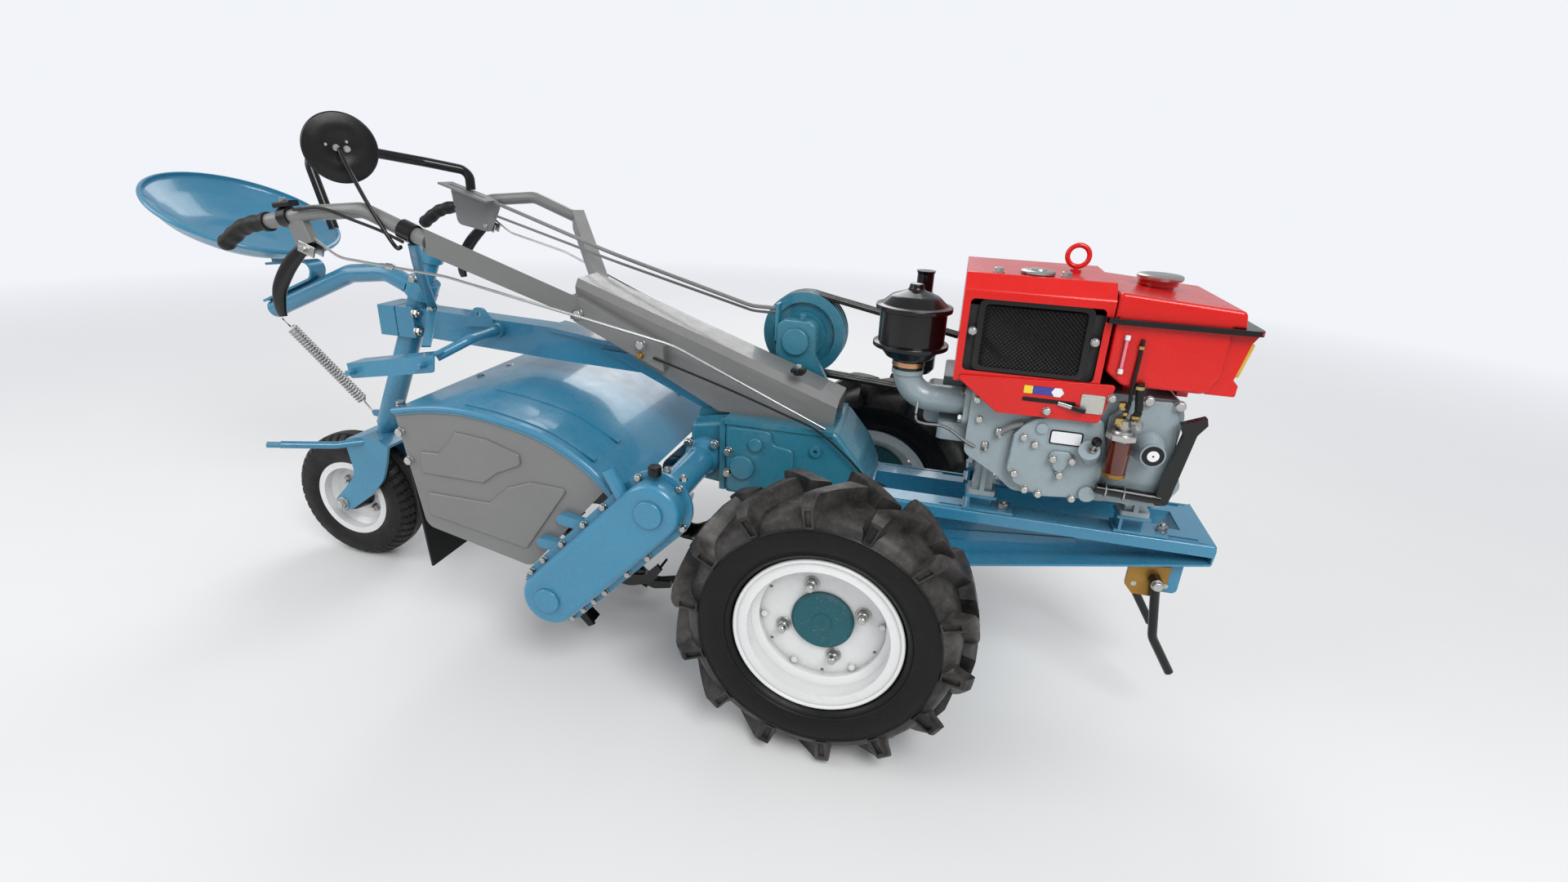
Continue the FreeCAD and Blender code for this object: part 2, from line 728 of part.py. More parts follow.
def rim(side):
    """White pressed rim with its disc; side is 1 for left, -1 for right."""
    centre = side * TRACK / 2
    half = RIM_HALF_WIDTH
    seat = RIM_SEAT_R - SEAT_GAP
    wall = RIM_WALL
    section = [(half, RIM_R), (half - wall, RIM_R), (half - wall, seat), (26, seat), (16, RIM_WELL_R)]
    under = [(half, seat - wall), (28, seat - wall), (18, RIM_WELL_R - wall)]
    profile = section + [(-y, r) for y, r in section[::-1]] + [(-y, r) for y, r in under] \
        + [(y, r) for y, r in under[::-1]]
    barrel = turned([(centre + y, r) for y, r in profile], 0, AXLE_Z)
    lips = [Part.makeTorus(RIM_R - RIM_LIP_R + 1, RIM_LIP_R, V(0, centre + end * (half + 1), AXLE_Z), AXIS_Y)
            for end in (-1, 1)]
    disc = disc_y(0, AXLE_Z, RIM_WELL_R - wall / 2, (centre - DISC_WALL / 2, centre + DISC_WALL / 2))
    reach = (centre - 2 * DISC_WALL, centre + 2 * DISC_WALL)
    holes = [disc_y(0, AXLE_Z, HUB_CAP_R + SEAT_GAP, reach)]
    holes += wheel_holes(reach, STUD_CIRCLE_R, STUD_R + SEAT_GAP, STUD_COUNT, STUD_START)
    holes += wheel_holes(reach, VENT_CIRCLE_R, VENT_R, VENT_COUNT, VENT_START)
    return joined([barrel, disc] + lips).cut(group(holes))


def hub(side):
    """Hub flange with its cap, studs, barrel and shaft."""
    face = TRACK / 2 - DISC_WALL / 2
    barrel_end = AXLE_TUBE_END + 6
    cap = face + DISC_WALL + HUB_CAP_RISE
    flange = STUD_CIRCLE_R + HUB_FLANGE_MARGIN
    profile = [(BOX_HALF + 20, 0), (BOX_HALF + 20, SHAFT_R), (barrel_end, SHAFT_R),
               (barrel_end, HUB_BARREL_R),
               (face - 30, HUB_BARREL_R + 8), (face - 14, flange), (face - SEAT_GAP, flange),
               (face - SEAT_GAP, HUB_CAP_R), (cap - 6, HUB_CAP_R), (cap, HUB_CAP_R - 6), (cap, 0)]
    body = turned(profile, 0, AXLE_Z)
    studs = wheel_holes((face - 6, face + DISC_WALL + STUD_LENGTH), STUD_CIRCLE_R, STUD_R, STUD_COUNT,
                        STUD_START)
    return sided(joined([body] + studs), side)


def axle_tube(side):
    """Flanged tapering tube that carries one wheel shaft out of the gearbox."""
    bore = SHAFT_R + RUNNING_GAP
    profile = [(BOX_HALF, bore), (BOX_HALF, AXLE_FLANGE_R), (BOX_HALF + AXLE_FLANGE, AXLE_FLANGE_R),
               (BOX_HALF + AXLE_FLANGE + 6, AXLE_TUBE_R + 14), (AXLE_TUBE_END - 60, AXLE_TUBE_R),
               (AXLE_TUBE_END - 30, AXLE_TUBE_R), (AXLE_TUBE_END - 24, AXLE_COLLAR_R),
               (AXLE_TUBE_END, AXLE_COLLAR_R), (AXLE_TUBE_END, bore)]
    return sided(turned(profile, 0, AXLE_Z), side)


def rail_bottom(x):
    """Height of the rails' underside at a place along their taper."""
    rise = (RAIL_DEPTH_REAR - RAIL_DEPTH_FRONT) / (FRONT_REACH - PLATE - RAIL_TAPER_X)
    return RAIL_TOP - RAIL_DEPTH_REAR + max(x - RAIL_TAPER_X, 0) * rise


def frame_rail():
    """The left channel rail, open outwards, with its lip, slots and pressed bead."""
    front = FRONT_REACH - PLATE
    low = rail_bottom(RAIL_REAR_X)
    nose = rail_bottom(front)
    web = slab_y([(RAIL_REAR_X, RAIL_TOP), (front, RAIL_TOP), (front, nose), (RAIL_TAPER_X, low),
                  (RAIL_REAR_X, low)], (RAIL_WEB_Y, RAIL_WEB_Y + PLATE))
    top = slab_x([(RAIL_WEB_Y, RAIL_TOP), (RAIL_HALF, RAIL_TOP, PLATE), (RAIL_HALF, RAIL_TOP - RAIL_LIP),
                  (RAIL_HALF - PLATE, RAIL_TOP - RAIL_LIP), (RAIL_HALF - PLATE, RAIL_TOP - PLATE),
                  (RAIL_WEB_Y, RAIL_TOP - PLATE)], (RAIL_REAR_X, front))
    foot = slab_y([(RAIL_REAR_X, low), (RAIL_TAPER_X, low), (front, nose), (front, nose + PLATE),
                   (RAIL_TAPER_X, low + PLATE), (RAIL_REAR_X, low + PLATE)], (RAIL_WEB_Y, RAIL_HALF))
    bead_ends = [(RAIL_TAPER_X + x, low + z) for x, z in WEB_BEAD]
    bead = stadium(*bead_ends, WEB_BEAD_R, (RAIL_WEB_Y + PLATE, RAIL_WEB_Y + PLATE + BEAD_RISE))
    ridge = box((RAIL_REAR_X + 20, front - 12), TOP_BEAD[:2], (RAIL_TOP, RAIL_TOP + TOP_BEAD[2]))
    slots = group([rail_slot(FRONT_REACH - back) for back in SLOT_BACK])
    return joined([web, top, foot, bead, ridge]).cut(slots)


def rail_slot(x):
    """Bar with round ends that cuts one slot in the top of the rail."""
    half = SLOT_LENGTH / 2
    corners = [(x - half, SLOT_Y - SLOT_HALF), (x + half, SLOT_Y - SLOT_HALF), (x + half, SLOT_Y + SLOT_HALF),
               (x - half, SLOT_Y + SLOT_HALF)]
    return slab_z(corners, (RAIL_TOP - 2 * PLATE, RAIL_TOP + PLATE), SLOT_HALF)


def stand_ear():
    """The left ear under the frame that carries the stand's cross bar."""
    rear, front = STAND_X - STAND_EAR[0], STAND_X + STAND_EAR[1]
    ear = slab_y([(rear, STAND_EAR_LOW, 12), (front, STAND_EAR_LOW, 12), (front, rail_bottom(front) + 1),
                  (rear, rail_bottom(rear) + 1)], (STAND_EAR_Y, STAND_EAR_Y + STAND_EAR_WALL))
    return ear.cut(disc_y(STAND_X, STAND_Z, STAND_PIN_R + RUNNING_GAP, (STAND_EAR_Y - 1, STAND_LEG_Y)))


def frame():
    """Rails joined by the rear plate, a tie and the front cross-member."""
    front = FRONT_REACH - PLATE
    low = rail_bottom(RAIL_REAR_X)
    rear = box((RAIL_REAR_X, RAIL_REAR_X + PLATE), (-RAIL_HALF, RAIL_HALF), (low, RAIL_TOP))
    nose = slab_y([(front, RAIL_TOP), (FRONT_REACH - 2, RAIL_TOP), (FRONT_REACH, RAIL_TOP - 12),
                   (FRONT_REACH - 2, rail_bottom(front) + 4), (front, rail_bottom(front))],
                  (-RAIL_HALF, RAIL_HALF))
    nose_top = box((FRONT_REACH - NOSE_WIDTH, front), (-RAIL_WEB_Y - 1, RAIL_WEB_Y + 1),
                   (RAIL_TOP - PLATE, RAIL_TOP))
    tie = box(TIE_X, (-RAIL_WEB_Y - 1, RAIL_WEB_Y + 1), (low, RAIL_TOP - TIE_DROP))
    rail = joined([frame_rail(), stand_ear()])
    return joined([rail, mirrored(rail), rear, nose, nose_top, tie])


def front_stand():
    """Two bent legs on one cross bar that fold down under the front of the frame."""
    bar = disc_y(STAND_X, STAND_Z, STAND_PIN_R, (-STAND_LEG_Y, STAND_LEG_Y))
    inner = STAND_LEG_Y - STAND_LEG_R - 2
    bends = [(STAND_X + x, STAND_LEG_Y, STAND_Z + z) for x, z in STAND_LEG]
    route = [(STAND_X, STAND_LEG_Y, STAND_Z)] + bends
    eye = disc_y(STAND_X, STAND_Z, STAND_EYE_R, (inner, 2 * STAND_LEG_Y - inner))
    left = joined([bent_bar(route, STAND_BEND, STAND_LEG_R), eye])
    return joined([bar, left, mirrored(left)])


def gearbox():
    """Main casing with its rounded nose, final drive, top flange and covers."""
    casing = softened(slab_y(GEARBOX_SIDE, (-BOX_HALF, BOX_HALF)), BOX_EDGE_R, (-BOX_HALF, BOX_HALF))
    final = disc_y(0, AXLE_Z, FINAL_DRIVE_R, (-BOX_HALF, BOX_HALF))
    ahead = box((BOX_NOSE_X, BOX_NOSE_X + FINAL_DRIVE_R), (-2 * BOX_HALF, 2 * BOX_HALF),
                (AXLE_Z - 2 * FINAL_DRIVE_R, AXLE_Z + 2 * FINAL_DRIVE_R))
    flange = box((BOX_REAR_X, BOX_FLANGE_FRONT), (-BOX_HALF - 4, BOX_HALF + 4),
                 (BOX_TOP - BOX_FLANGE, BOX_TOP))
    covers = gearbox_covers()
    body = joined([casing, final]).cut(ahead)
    return joined([body, flange] + covers + [mirrored(cover) for cover in covers])


def gearbox_covers():
    """Raised covers, round caps and ribs of the left face."""
    low = (BOX_HALF - 1, BOX_HALF + COVER_RISE)
    plates = [softened(slab_y(plan, low, COVER_CORNER_R), COVER_EDGE_R, (low[1],))
              for plan in (GEARBOX_COVER, GEARBOX_WEDGE)]
    high = (BOX_HALF + COVER_RISE, BOX_HALF + BOSS_RISE)
    caps = [softened(disc_y(x, z, radius, high), COVER_EDGE_R, (high[1],)) for x, z, radius in GEARBOX_CAPS]
    boss = ring_y(*GEARBOX_BOSS, low)
    joint = slab_y(GEARBOX_JOINT, (BOX_HALF - 1, BOX_HALF + COVER_RISE / 2))
    return plates + caps + [boss, joint]


def cap_top(x):
    """Height of the tiller gearbox's cap along its sloping top."""
    (rear, low), (front, high) = TILLER_CAP_TOP
    return low + (x - rear) / (front - rear) * (high - low)


def tiller_gearbox():
    """Transfer casing behind the gearbox that drives the tiller, with its ribbed top."""
    half = TILLER_BOX_HALF
    front = BOX_REAR_X - 14
    casing = softened(slab_y(TILLER_BOX_SIDE, (-half, half)), 10, (-half, half))
    flange = box((front, BOX_REAR_X), (6 - BOX_HALF, BOX_HALF - 6), (BOX_BOTTOM_REAR + 5, BOX_TOP - 8))
    foot = [(TILLER_BOX_REAR + 6, 584), (front, 600)]
    cap = slab_y([foot[0], TILLER_CAP_TOP[0], TILLER_CAP_TOP[1], (front, TILLER_CAP_TOP[1][1]), foot[1]],
                 (-TILLER_CAP_HALF, TILLER_CAP_HALF), 4)
    ribs = [slab_y([foot[0], (TILLER_BOX_REAR + 14, 606), (front, 620), foot[1]], (y - 4, y + 4))
            for y in TILLER_RIB_Y]
    cuffs = [disc_y(TILLER_X, CASE_TOP_Z, CROSS_FLANGE_R, sorted((side * (half - 1), side * (half + 8))))
             for side in (-1, 1)]
    return joined([casing, flange, cap] + ribs + cuffs)


def cross_tube():
    """Tube across the machine that carries the chain case and the far bearing arm."""
    start = TILLER_BOX_HALF + 8
    tubes = []
    for side, end in ((1, SIDE_PLATE_Y), (-1, -CASE_NEAR_Y - CASE_DEPTH)):
        profile = [(start, 0), (start, CROSS_FLANGE_R), (start + CROSS_FLANGE, CROSS_FLANGE_R),
                   (start + CROSS_FLANGE + 24, CROSS_TUBE_R), (end, CROSS_TUBE_R), (end, 0)]
        tubes.append(turned([(side * y, r) for y, r in profile], TILLER_X, CASE_TOP_Z))
    return group(tubes)


def chain_case():
    """Pressed chain case with its bolted flange, rounded shoulders and two bosses."""
    top = (TILLER_X, CASE_TOP_Z)
    low = (ROTOR_X, ROTOR_Z)
    back = CASE_NEAR_Y + CASE_DEPTH
    face = CASE_NEAR_Y + CASE_BOSS
    flange = stadium(top, low, CASE_R, (back - CASE_FLANGE, back))
    cover = softened(stadium(top, low, CASE_R - CASE_RIM, (face, back - CASE_FLANGE)), CASE_SHOULDER, (face,))
    bosses = [softened(disc_y(x, z, r, (CASE_NEAR_Y, face + 1)), 4, (CASE_NEAR_Y,))
              for (x, z), r in zip((top, low), CASE_BOSS_R)]
    lugs = [stadium(*from_tiller(ends), CASE_LUG_R, (back, -SIDE_PLATE_Y)) for ends in CASE_LUGS]
    x, z, radius = CASE_FILLER
    filler = rod((TILLER_X + x + 24, back - 20, z - 46), (TILLER_X + x - 8, back - 20, z + 16), radius)
    bore = disc_y(ROTOR_X, ROTOR_Z, ROTOR_SHAFT_R + RUNNING_GAP, (back - 30, back + 1))
    return joined([flange, cover, filler] + bosses + lugs).cut(bore)


def from_tiller(points):
    """Points given from the cross tube's axis, counted from the drive axle."""
    return [(TILLER_X + point[0],) + tuple(point[1:]) for point in points]


def tiller_hood():
    """Curved cover sheet over the rotor with rolled side lips and pressed beads."""
    block = bent_sheet(HOOD_LINE, HOOD_BEND, HOOD_LIP, (-TILLER_HALF, TILLER_HALF))
    (ax, az), (bx, bz) = HOOD_LINE[:2]
    (cx, cz), (dx, dz) = HOOD_LINE[-2:]
    start = (2 * ax - bx, 2 * az - bz)
    end = (2 * dx - cx, 2 * dz - cz)
    hollow = bent_sheet(carried([start] + HOOD_LINE[1:-1] + [end], SHEET), HOOD_BEND - SHEET, 2 * HOOD_LIP,
                        (SHEET - TILLER_HALF, TILLER_HALF - SHEET))
    beads = []
    for y in BEAD_Y:
        for side in (-1, 1):
            beads.append(bent_sheet(carried(HOOD_LINE[2:6], -BEAD_RISE), HOOD_BEND + BEAD_RISE, BEAD_RISE + 1,
                                    (side * y - 7, side * y + 7)))
    return joined([block.cut(hollow)] + beads)


def side_plate(side):
    """End plate of the tiller with two raised pads."""
    (ax, az), (bx, bz) = HOOD_LINE[-2:]
    tip = (ax + PLATE_TIP * (bx - ax), az + PLATE_TIP * (bz - az))
    gap = SHEET + SEAT_GAP
    upper = carried(HOOD_LINE[:-1] + [tip], gap)
    bends = [point + (HOOD_BEND - gap,) for point in upper[1:-1]]
    plan = [upper[0]] + bends + [upper[-1]] + from_tiller(PLATE_FRONT)
    plate = slab_y(plan, (SIDE_PLATE_Y - SHEET, SIDE_PLATE_Y))
    face = (SIDE_PLATE_Y - 1, SIDE_PLATE_Y + PAD_RISE)
    blanks = [slab_y(from_tiller(pad), face, 9) for pad in (PAD_UPPER, PAD_LOWER)]
    pads = [softened(blank, PAD_RISE - 1, (face[1],)) for blank in blanks]
    return sided(joined([plate] + pads), side)


def tiller_flap():
    """Rubber flap hanging behind the rotor."""
    reach = SIDE_PLATE_Y - SHEET - SEAT_GAP
    (ax, az), (bx, bz) = carried(HOOD_LINE, SHEET + SEAT_GAP)[:2]
    slope = (bz - az) / (bx - ax)
    x, z = FLAP_FOOT
    top = [(ax + 3, az + 3 * slope), (ax + 3 + FLAP_WALL, az + (3 + FLAP_WALL) * slope)]
    return slab_y(top + from_tiller([(x + FLAP_WALL, z), (x, z)]), (-reach, reach))


def end_bearing():
    """Bearing arm that carries the far end of the rotor."""
    inner = SIDE_PLATE_Y + 5 + SEAT_GAP
    arm = stadium((TILLER_X, CASE_TOP_Z), (ROTOR_X, ROTOR_Z), BEARING_R, (inner, inner + BEARING_WALL))
    pad = disc_y(TILLER_X, CASE_TOP_Z, CROSS_TUBE_R, (SIDE_PLATE_Y, inner + 1))
    boss = softened(disc_y(ROTOR_X, ROTOR_Z, BEARING_R,
                           (SIDE_PLATE_Y + SEAT_GAP, SIDE_PLATE_Y + BEARING_BOSS)), 8,
                    (SIDE_PLATE_Y + BEARING_BOSS,))
    bore = disc_y(ROTOR_X, ROTOR_Z, ROTOR_SHAFT_R + RUNNING_GAP, (SIDE_PLATE_Y - 1, SIDE_PLATE_Y + 26))
    return joined([arm, pad, boss]).cut(bore)


def tine(y, side, angle):
    """One scimitar hoe blade on its holder, with its tip bent round sideways."""
    holder = box((ROTOR_X - 13, ROTOR_X + 13), (y - 10, y + 10), (ROTOR_Z + 22, ROTOR_Z + 70))
    shank = slab_y([(ROTOR_X - 16, ROTOR_Z + 40), (ROTOR_X + 16, ROTOR_Z + 40),
                    (ROTOR_X + 14, ROTOR_Z + 128, 60),
                    (ROTOR_X - 14, ROTOR_Z + 178, 30), (ROTOR_X - 58, ROTOR_Z + 200),
                    (ROTOR_X - 70, ROTOR_Z + 186), (ROTOR_X - 30, ROTOR_Z + 160, 30),
                    (ROTOR_X - 18, ROTOR_Z + 116, 40)], (y - TINE_WALL / 2, y + TINE_WALL / 2))
    wide = sorted((y - side * TINE_WALL / 2, y + side * TINE_WIDTH))
    tip = bent_strip([(ROTOR_X + 6, ROTOR_Z + 136), (ROTOR_X - 14, ROTOR_Z + 172),
                      (ROTOR_X - 62, ROTOR_Z + 194)], 30, wide, TINE_WALL - 2)
    shape = joined([holder, shank, tip])
    shape.rotate(V(ROTOR_X, 0, ROTOR_Z), AXIS_Y, angle)
    return shape


def rotor():
    """Rotor shaft with its tines wound round it in two spirals."""
    back = CASE_NEAR_Y + CASE_DEPTH
    profile = [(back - 20, 0), (back - 20, ROTOR_SHAFT_R), (back + 12, ROTOR_SHAFT_R),
               (back + 12, ROTOR_BARREL_R),
               (SIDE_PLATE_Y - 12, ROTOR_BARREL_R), (SIDE_PLATE_Y - 12, ROTOR_SHAFT_R),
               (SIDE_PLATE_Y + 20, ROTOR_SHAFT_R), (SIDE_PLATE_Y + 20, 0)]
    shaft = turned(profile, ROTOR_X, ROTOR_Z)
    reach = SIDE_PLATE_Y - 60
    tines = []
    for number in range(TINE_COUNT):
        y = -reach + number * 2 * reach / (TINE_COUNT - 1)
        tines.append(tine(y, 1 if number < TINE_COUNT / 2 else -1, number * TINE_TURN))
    return joined([shaft] + tines)


def engine_block():
    """Crankcase with its cylinder head, feet and crankshaft bore."""
    body = softened(slab_y(BLOCK_SIDE, (BLOCK_NEAR_Y, BLOCK_FAR_Y)), 8, (BLOCK_FAR_Y,))
    head = slab_z([(HEAD_REAR_X, HEAD_Y[0], 12), (BLOCK_REAR_X + 2, HEAD_Y[0]), (BLOCK_REAR_X + 2, HEAD_Y[1]),
                   (HEAD_REAR_X, HEAD_Y[1], 12)], HEAD_Z)
    passage = box((HEAD_REAR_X - 1, BLOCK_REAR_X), (HEAD_Y[0] - 1, AIR_Y + ELBOW_FLANGE_HALF + 4),
                  (ELBOW_Z - ELBOW_FLANGE_HALF - 4, HEAD_Z[1] + 1))
    rocker = slab_y(ROCKER_COVER, ROCKER_Y)
    bore = disc_y(CRANK_X, CRANK_Z, CRANK_R + RUNNING_GAP, (BLOCK_FAR_Y - CRANK_SEAT, BLOCK_FAR_Y + 1))
    return joined([body, head.cut(passage), rocker] + engine_feet()).cut(bore)


def engine_feet():
    """Cast feet between the crankcase and the brackets."""
    feet = []
    low = RAIL_TOP + MOUNT_HEIGHT
    for start, end in FOOT_PLACES:
        middle = (start + end) / 2
        for bounds in both(*FOOT_Y):
            feet.append(slab_z([(start, bounds[0]), (end, bounds[0]), (end, bounds[1]), (start, bounds[1])],
                               (low, low + FOOT_WALL), 6))
            feet.append(slab_y([(start + 8, low + 2), (end - 8, low + 2), (end - 12, FOOT_TOP),
                                (start + 12, FOOT_TOP)],
                               (bounds[0] + 8, bounds[1] - 8)))
            feet.append(box((middle - 5, middle + 5), bounds, (low + 2, FOOT_TOP - 20)))
    return feet


def engine_mounts():
    """Bolted brackets between the rails and the engine feet."""
    mounts = []
    top = RAIL_TOP + MOUNT_HEIGHT
    for start, end in FOOT_PLACES:
        for y in both(*MOUNT_Y):
            middle = (start + end) / 2
            low = box((start - 6, end + 44), y, (RAIL_TOP + 1.5, RAIL_TOP + 1.5 + MOUNT_WALL))
            high = box((start - 4, end + 4), y, (top - MOUNT_WALL, top))
            web = box((start + 2, start + 2 + MOUNT_WALL), y, (RAIL_TOP + 2, top))
            rib = slab_y([(start + 2, top - 1), (end, top - 1), (middle + 24, RAIL_TOP + 3),
                          (start + 2, RAIL_TOP + 3)],
                         ((y[0] + y[1] - MOUNT_WALL) / 2, (y[0] + y[1] + MOUNT_WALL) / 2))
            mounts.append(joined([low, high, web, rib]))
    return group(mounts)


def gear_cover():
    """Bolted covers over the timing gears, with starter boss, filler and raised plates."""
    near = BLOCK_NEAR_Y
    face = near - GEAR_COVER
    side = near - SIDE_COVER
    proud = face - 8
    main = softened(slab_y(GEAR_PLAN, (face, near), GEAR_CORNER_R), 4, (face,))
    cover = softened(slab_y(SIDE_PLAN, (side, near), GEAR_CORNER_R), 3, (side,))
    boss = softened(slab_y(TRIANGLE_PLAN, (proud, face + 1), GEAR_CORNER_R), 3, (proud,))
    label = box(LABEL_X, (face - 1, face + 1), LABEL_Z)
    plug = softened(disc_y(*PLUG, (proud, face + 1)), 3, (proud,))
    pip = disc_y(*PIP, (face - 5, face + 1))
    dx, dz = DIPSTICK
    filler = rod((dx + 10, face + 2, dz - 20), (dx, face - 26, dz + 4), DIPSTICK_R)
    lip = rod((dx + 2, face - 21, dz), (dx - 1, face - 31, dz + 8), DIPSTICK_R + 3)
    return joined([main, cover, boss, label, plug, pip, starter_boss(side), filler, lip])


def starter_boss(side):
    """Hollow cone on the side cover that takes the starting handle."""
    reach = BLOCK_NEAR_Y - STARTER_REACH
    base = STARTER_R
    return turned([(side + 1, 0), (side + 1, base), (side - 8, base - 2), (reach + 14, base - 12),
                   (reach, base - 11), (reach, STARTER_CUP_R), (reach + 24, STARTER_CUP_R), (reach + 24, 0)],
                  *STARTER)


def radiator_hood():
    """Red sheet hood with its grille opening, chamfered shoulder and far side louvres."""
    def section(inset):
        low = BLOCK_TOP
        soft = HOOD_CORNER_R - inset
        return [(HOOD_NEAR_Y + inset, low), (HOOD_NEAR_Y + inset, HOOD_TOP - HOOD_CHAMFER, soft),
                (HOOD_NEAR_Y + HOOD_CHAMFER, HOOD_TOP - inset, soft),
                (HOOD_FAR_Y - inset, HOOD_TOP - inset, soft + 8),
                (HOOD_FAR_Y - inset, low)]
    skin = slab_x(section(0), (HOOD_REAR_X, HOOD_FRONT_X))
    hollow = slab_x(section(HOOD_WALL), (HOOD_REAR_X + HOOD_WALL, HOOD_FRONT_X - HOOD_WALL))
    opening = slab_y([(GRILLE_X[0], GRILLE_Z[0]), (GRILLE_X[1], GRILLE_Z[0]), (GRILLE_X[1], GRILLE_Z[1]),
                      (GRILLE_X[0], GRILLE_Z[1])], (HOOD_NEAR_Y - 5, HOOD_NEAR_Y + 5), 10)
    louvres = [box((HOOD_REAR_X + 30, HOOD_FRONT_X - 30), (HOOD_FAR_Y - 5, HOOD_FAR_Y + 5),
                   (z, z + LOUVRE_GAP))
               for z in range(*LOUVRE_Z)]
    eye_hole = Part.makeCylinder(EYE_BAR_R + SEAT_GAP, 20, V(EYE_X, EYE_Y, HOOD_TOP - 10))
    return skin.cut(hollow).cut(group([opening, eye_hole] + louvres))


def lifting_eye():
    """Ring of round bar on a shank that stands on the engine."""
    ring = Part.makeTorus(EYE_R - EYE_BAR_R, EYE_BAR_R, V(EYE_X, EYE_Y, HOOD_TOP + 6 + EYE_R), AXIS_Y)
    shank = Part.makeCylinder(EYE_BAR_R, 20, V(EYE_X, EYE_Y, HOOD_TOP - 6))
    foot = Part.makeCylinder(EYE_BAR_R + 6, 5, V(EYE_X, EYE_Y, HOOD_TOP + SEAT_GAP))
    return joined([ring, shank, foot])


def radiator():
    """Radiator core behind the grille."""
    return box((HOOD_REAR_X + 12, HOOD_FRONT_X - 12), (HOOD_NEAR_Y + 12, HOOD_FAR_Y - 12),
               (BLOCK_TOP, HOOD_TOP - CORE_DROP))


def tank_section(inset):
    """The tank's outline from the side, drawn in from its walls."""
    rear = HOOD_FRONT_X + 2 + inset
    front = TANK_FRONT_X - inset
    low = TANK_BOTTOM + inset
    return [(rear + 4, low + 24, 12), (rear + 38, low, 20), (front - 40, low, 20), (front - 22, low + 36, 16),
            (front - 22, TANK_SEAM), (front, TANK_SEAM), (front - 6, TANK_REST_Z - TANK_SLOPE - inset, 12),
            (rear, TANK_REST_Z - inset, 8), (rear, TANK_SEAM), (rear + 4, TANK_SEAM)]


def fuel_tank():
    """Red fuel tank with its seam band, filler neck, saddles and lamp housing."""
    shell = softened(slab_y(tank_section(0), (TANK_NEAR_Y, TANK_FAR_Y)), 7, (TANK_NEAR_Y, TANK_FAR_Y))
    band = box((HOOD_FRONT_X + 1, TANK_FRONT_X + 24),
               (TANK_NEAR_Y - TANK_BAND_REACH, TANK_FAR_Y + TANK_BAND_REACH),
               (TANK_SEAM - TANK_BAND, TANK_SEAM))
    neck = turned_z([(0, 980), (FILLER_R - 6, 980), (FILLER_R - 6, FILLER_TOP - 14),
                     (FILLER_R, FILLER_TOP - 14),
                     (FILLER_R, FILLER_TOP - 4), (FILLER_R - 8, FILLER_TOP), (0, FILLER_TOP)], FILLER_X, 0)
    saddles = [box((x, x + 20), SADDLE_Y, (BLOCK_TOP, TANK_BOTTOM + 1)) for x in SADDLE_X]
    housing = slab_y([(TANK_FRONT_X - 40, TANK_BOTTOM), (TANK_FRONT_X + 12, TANK_BOTTOM, 4),
                      (TANK_FRONT_X + 12, 852),
                      (LAMP_X - 20, LAMP_Z[0]), (LAMP_X - 6, LAMP_Z[1]), (TANK_FRONT_X + 24, TANK_SEAM - 12),
                      (TANK_FRONT_X + 24, TANK_SEAM - TANK_BAND + 1),
                      (TANK_FRONT_X - 40, TANK_SEAM - TANK_BAND + 1)],
                     (TANK_NEAR_Y + 8, TANK_FAR_Y - 8))
    inside = slab_y(tank_section(TANK_WALL), (TANK_NEAR_Y + 10, TANK_FAR_Y - 10))
    return joined([shell, band, neck, housing] + saddles).cut(inside)


def headlamp():
    """Upright yellow lens across the front of the tank."""
    back = LAMP_X - 20 + SEAT_GAP
    low, high = LAMP_Z
    return slab_y([(back, low), (back + LAMP_DEPTH / 2, low + 2, 3), (back + LAMP_DEPTH, high - 4, 4),
                   (back + 14, high)], LAMP_Y)


def lower_cover():
    """Red control panel under the grille."""
    face = HOOD_NEAR_Y - SHEET - 2
    return softened(slab_y(PANEL_SIDE, (face, HOOD_NEAR_Y - SEAT_GAP)), 1.5, (face,))


def air_cleaner():
    """Oil-bath air cleaner with its bowl, two brims, domed lid and wing nut seat."""
    profile = [(0, ELBOW_TOP + SEAT_GAP), (AIR_NECK_R, ELBOW_TOP + SEAT_GAP), (AIR_NECK_R, AIR_BOTTOM),
               (AIR_R - 22, AIR_BOTTOM, 10), (AIR_R - 4, AIR_BOTTOM + 22, 8),
               (AIR_BRIM_R, AIR_BOTTOM + 24, 2),
               (AIR_BRIM_R, AIR_BOTTOM + 33, 2), (AIR_R, AIR_BOTTOM + 35), (AIR_R, AIR_BOTTOM + 100),
               (AIR_BRIM_R, AIR_BOTTOM + 102, 2), (AIR_BRIM_R, AIR_BOTTOM + 112, 2),
               (AIR_R, AIR_BOTTOM + 114, 4), (AIR_R - 20, AIR_TOP - 12, 20), (16, AIR_TOP, 10),
               (14, AIR_TOP + 12, 3),
               (0, AIR_TOP + 14)]
    return turned_z(profile, AIR_X, AIR_Y)


def intake_elbow():
    """Cast elbow from the air cleaner to the cylinder head."""
    end = BLOCK_REAR_X - SEAT_GAP
    route = [(AIR_X, AIR_Y, ELBOW_TOP), (AIR_X, AIR_Y, ELBOW_Z), (end, AIR_Y, ELBOW_Z)]
    pipe = bent_bar(route, ELBOW_BEND, ELBOW_R)
    half = ELBOW_FLANGE_HALF
    flange = slab_x([(AIR_Y - half, ELBOW_Z - half), (AIR_Y + half, ELBOW_Z - half),
                     (AIR_Y + half, ELBOW_Z + half),
                     (AIR_Y - half, ELBOW_Z + half)], (end - ELBOW_FLANGE, end), 14)
    collar = Part.makeCylinder(ELBOW_R + 4, 10, V(AIR_X, AIR_Y, ELBOW_TOP - 10))
    return joined([pipe, flange, collar])


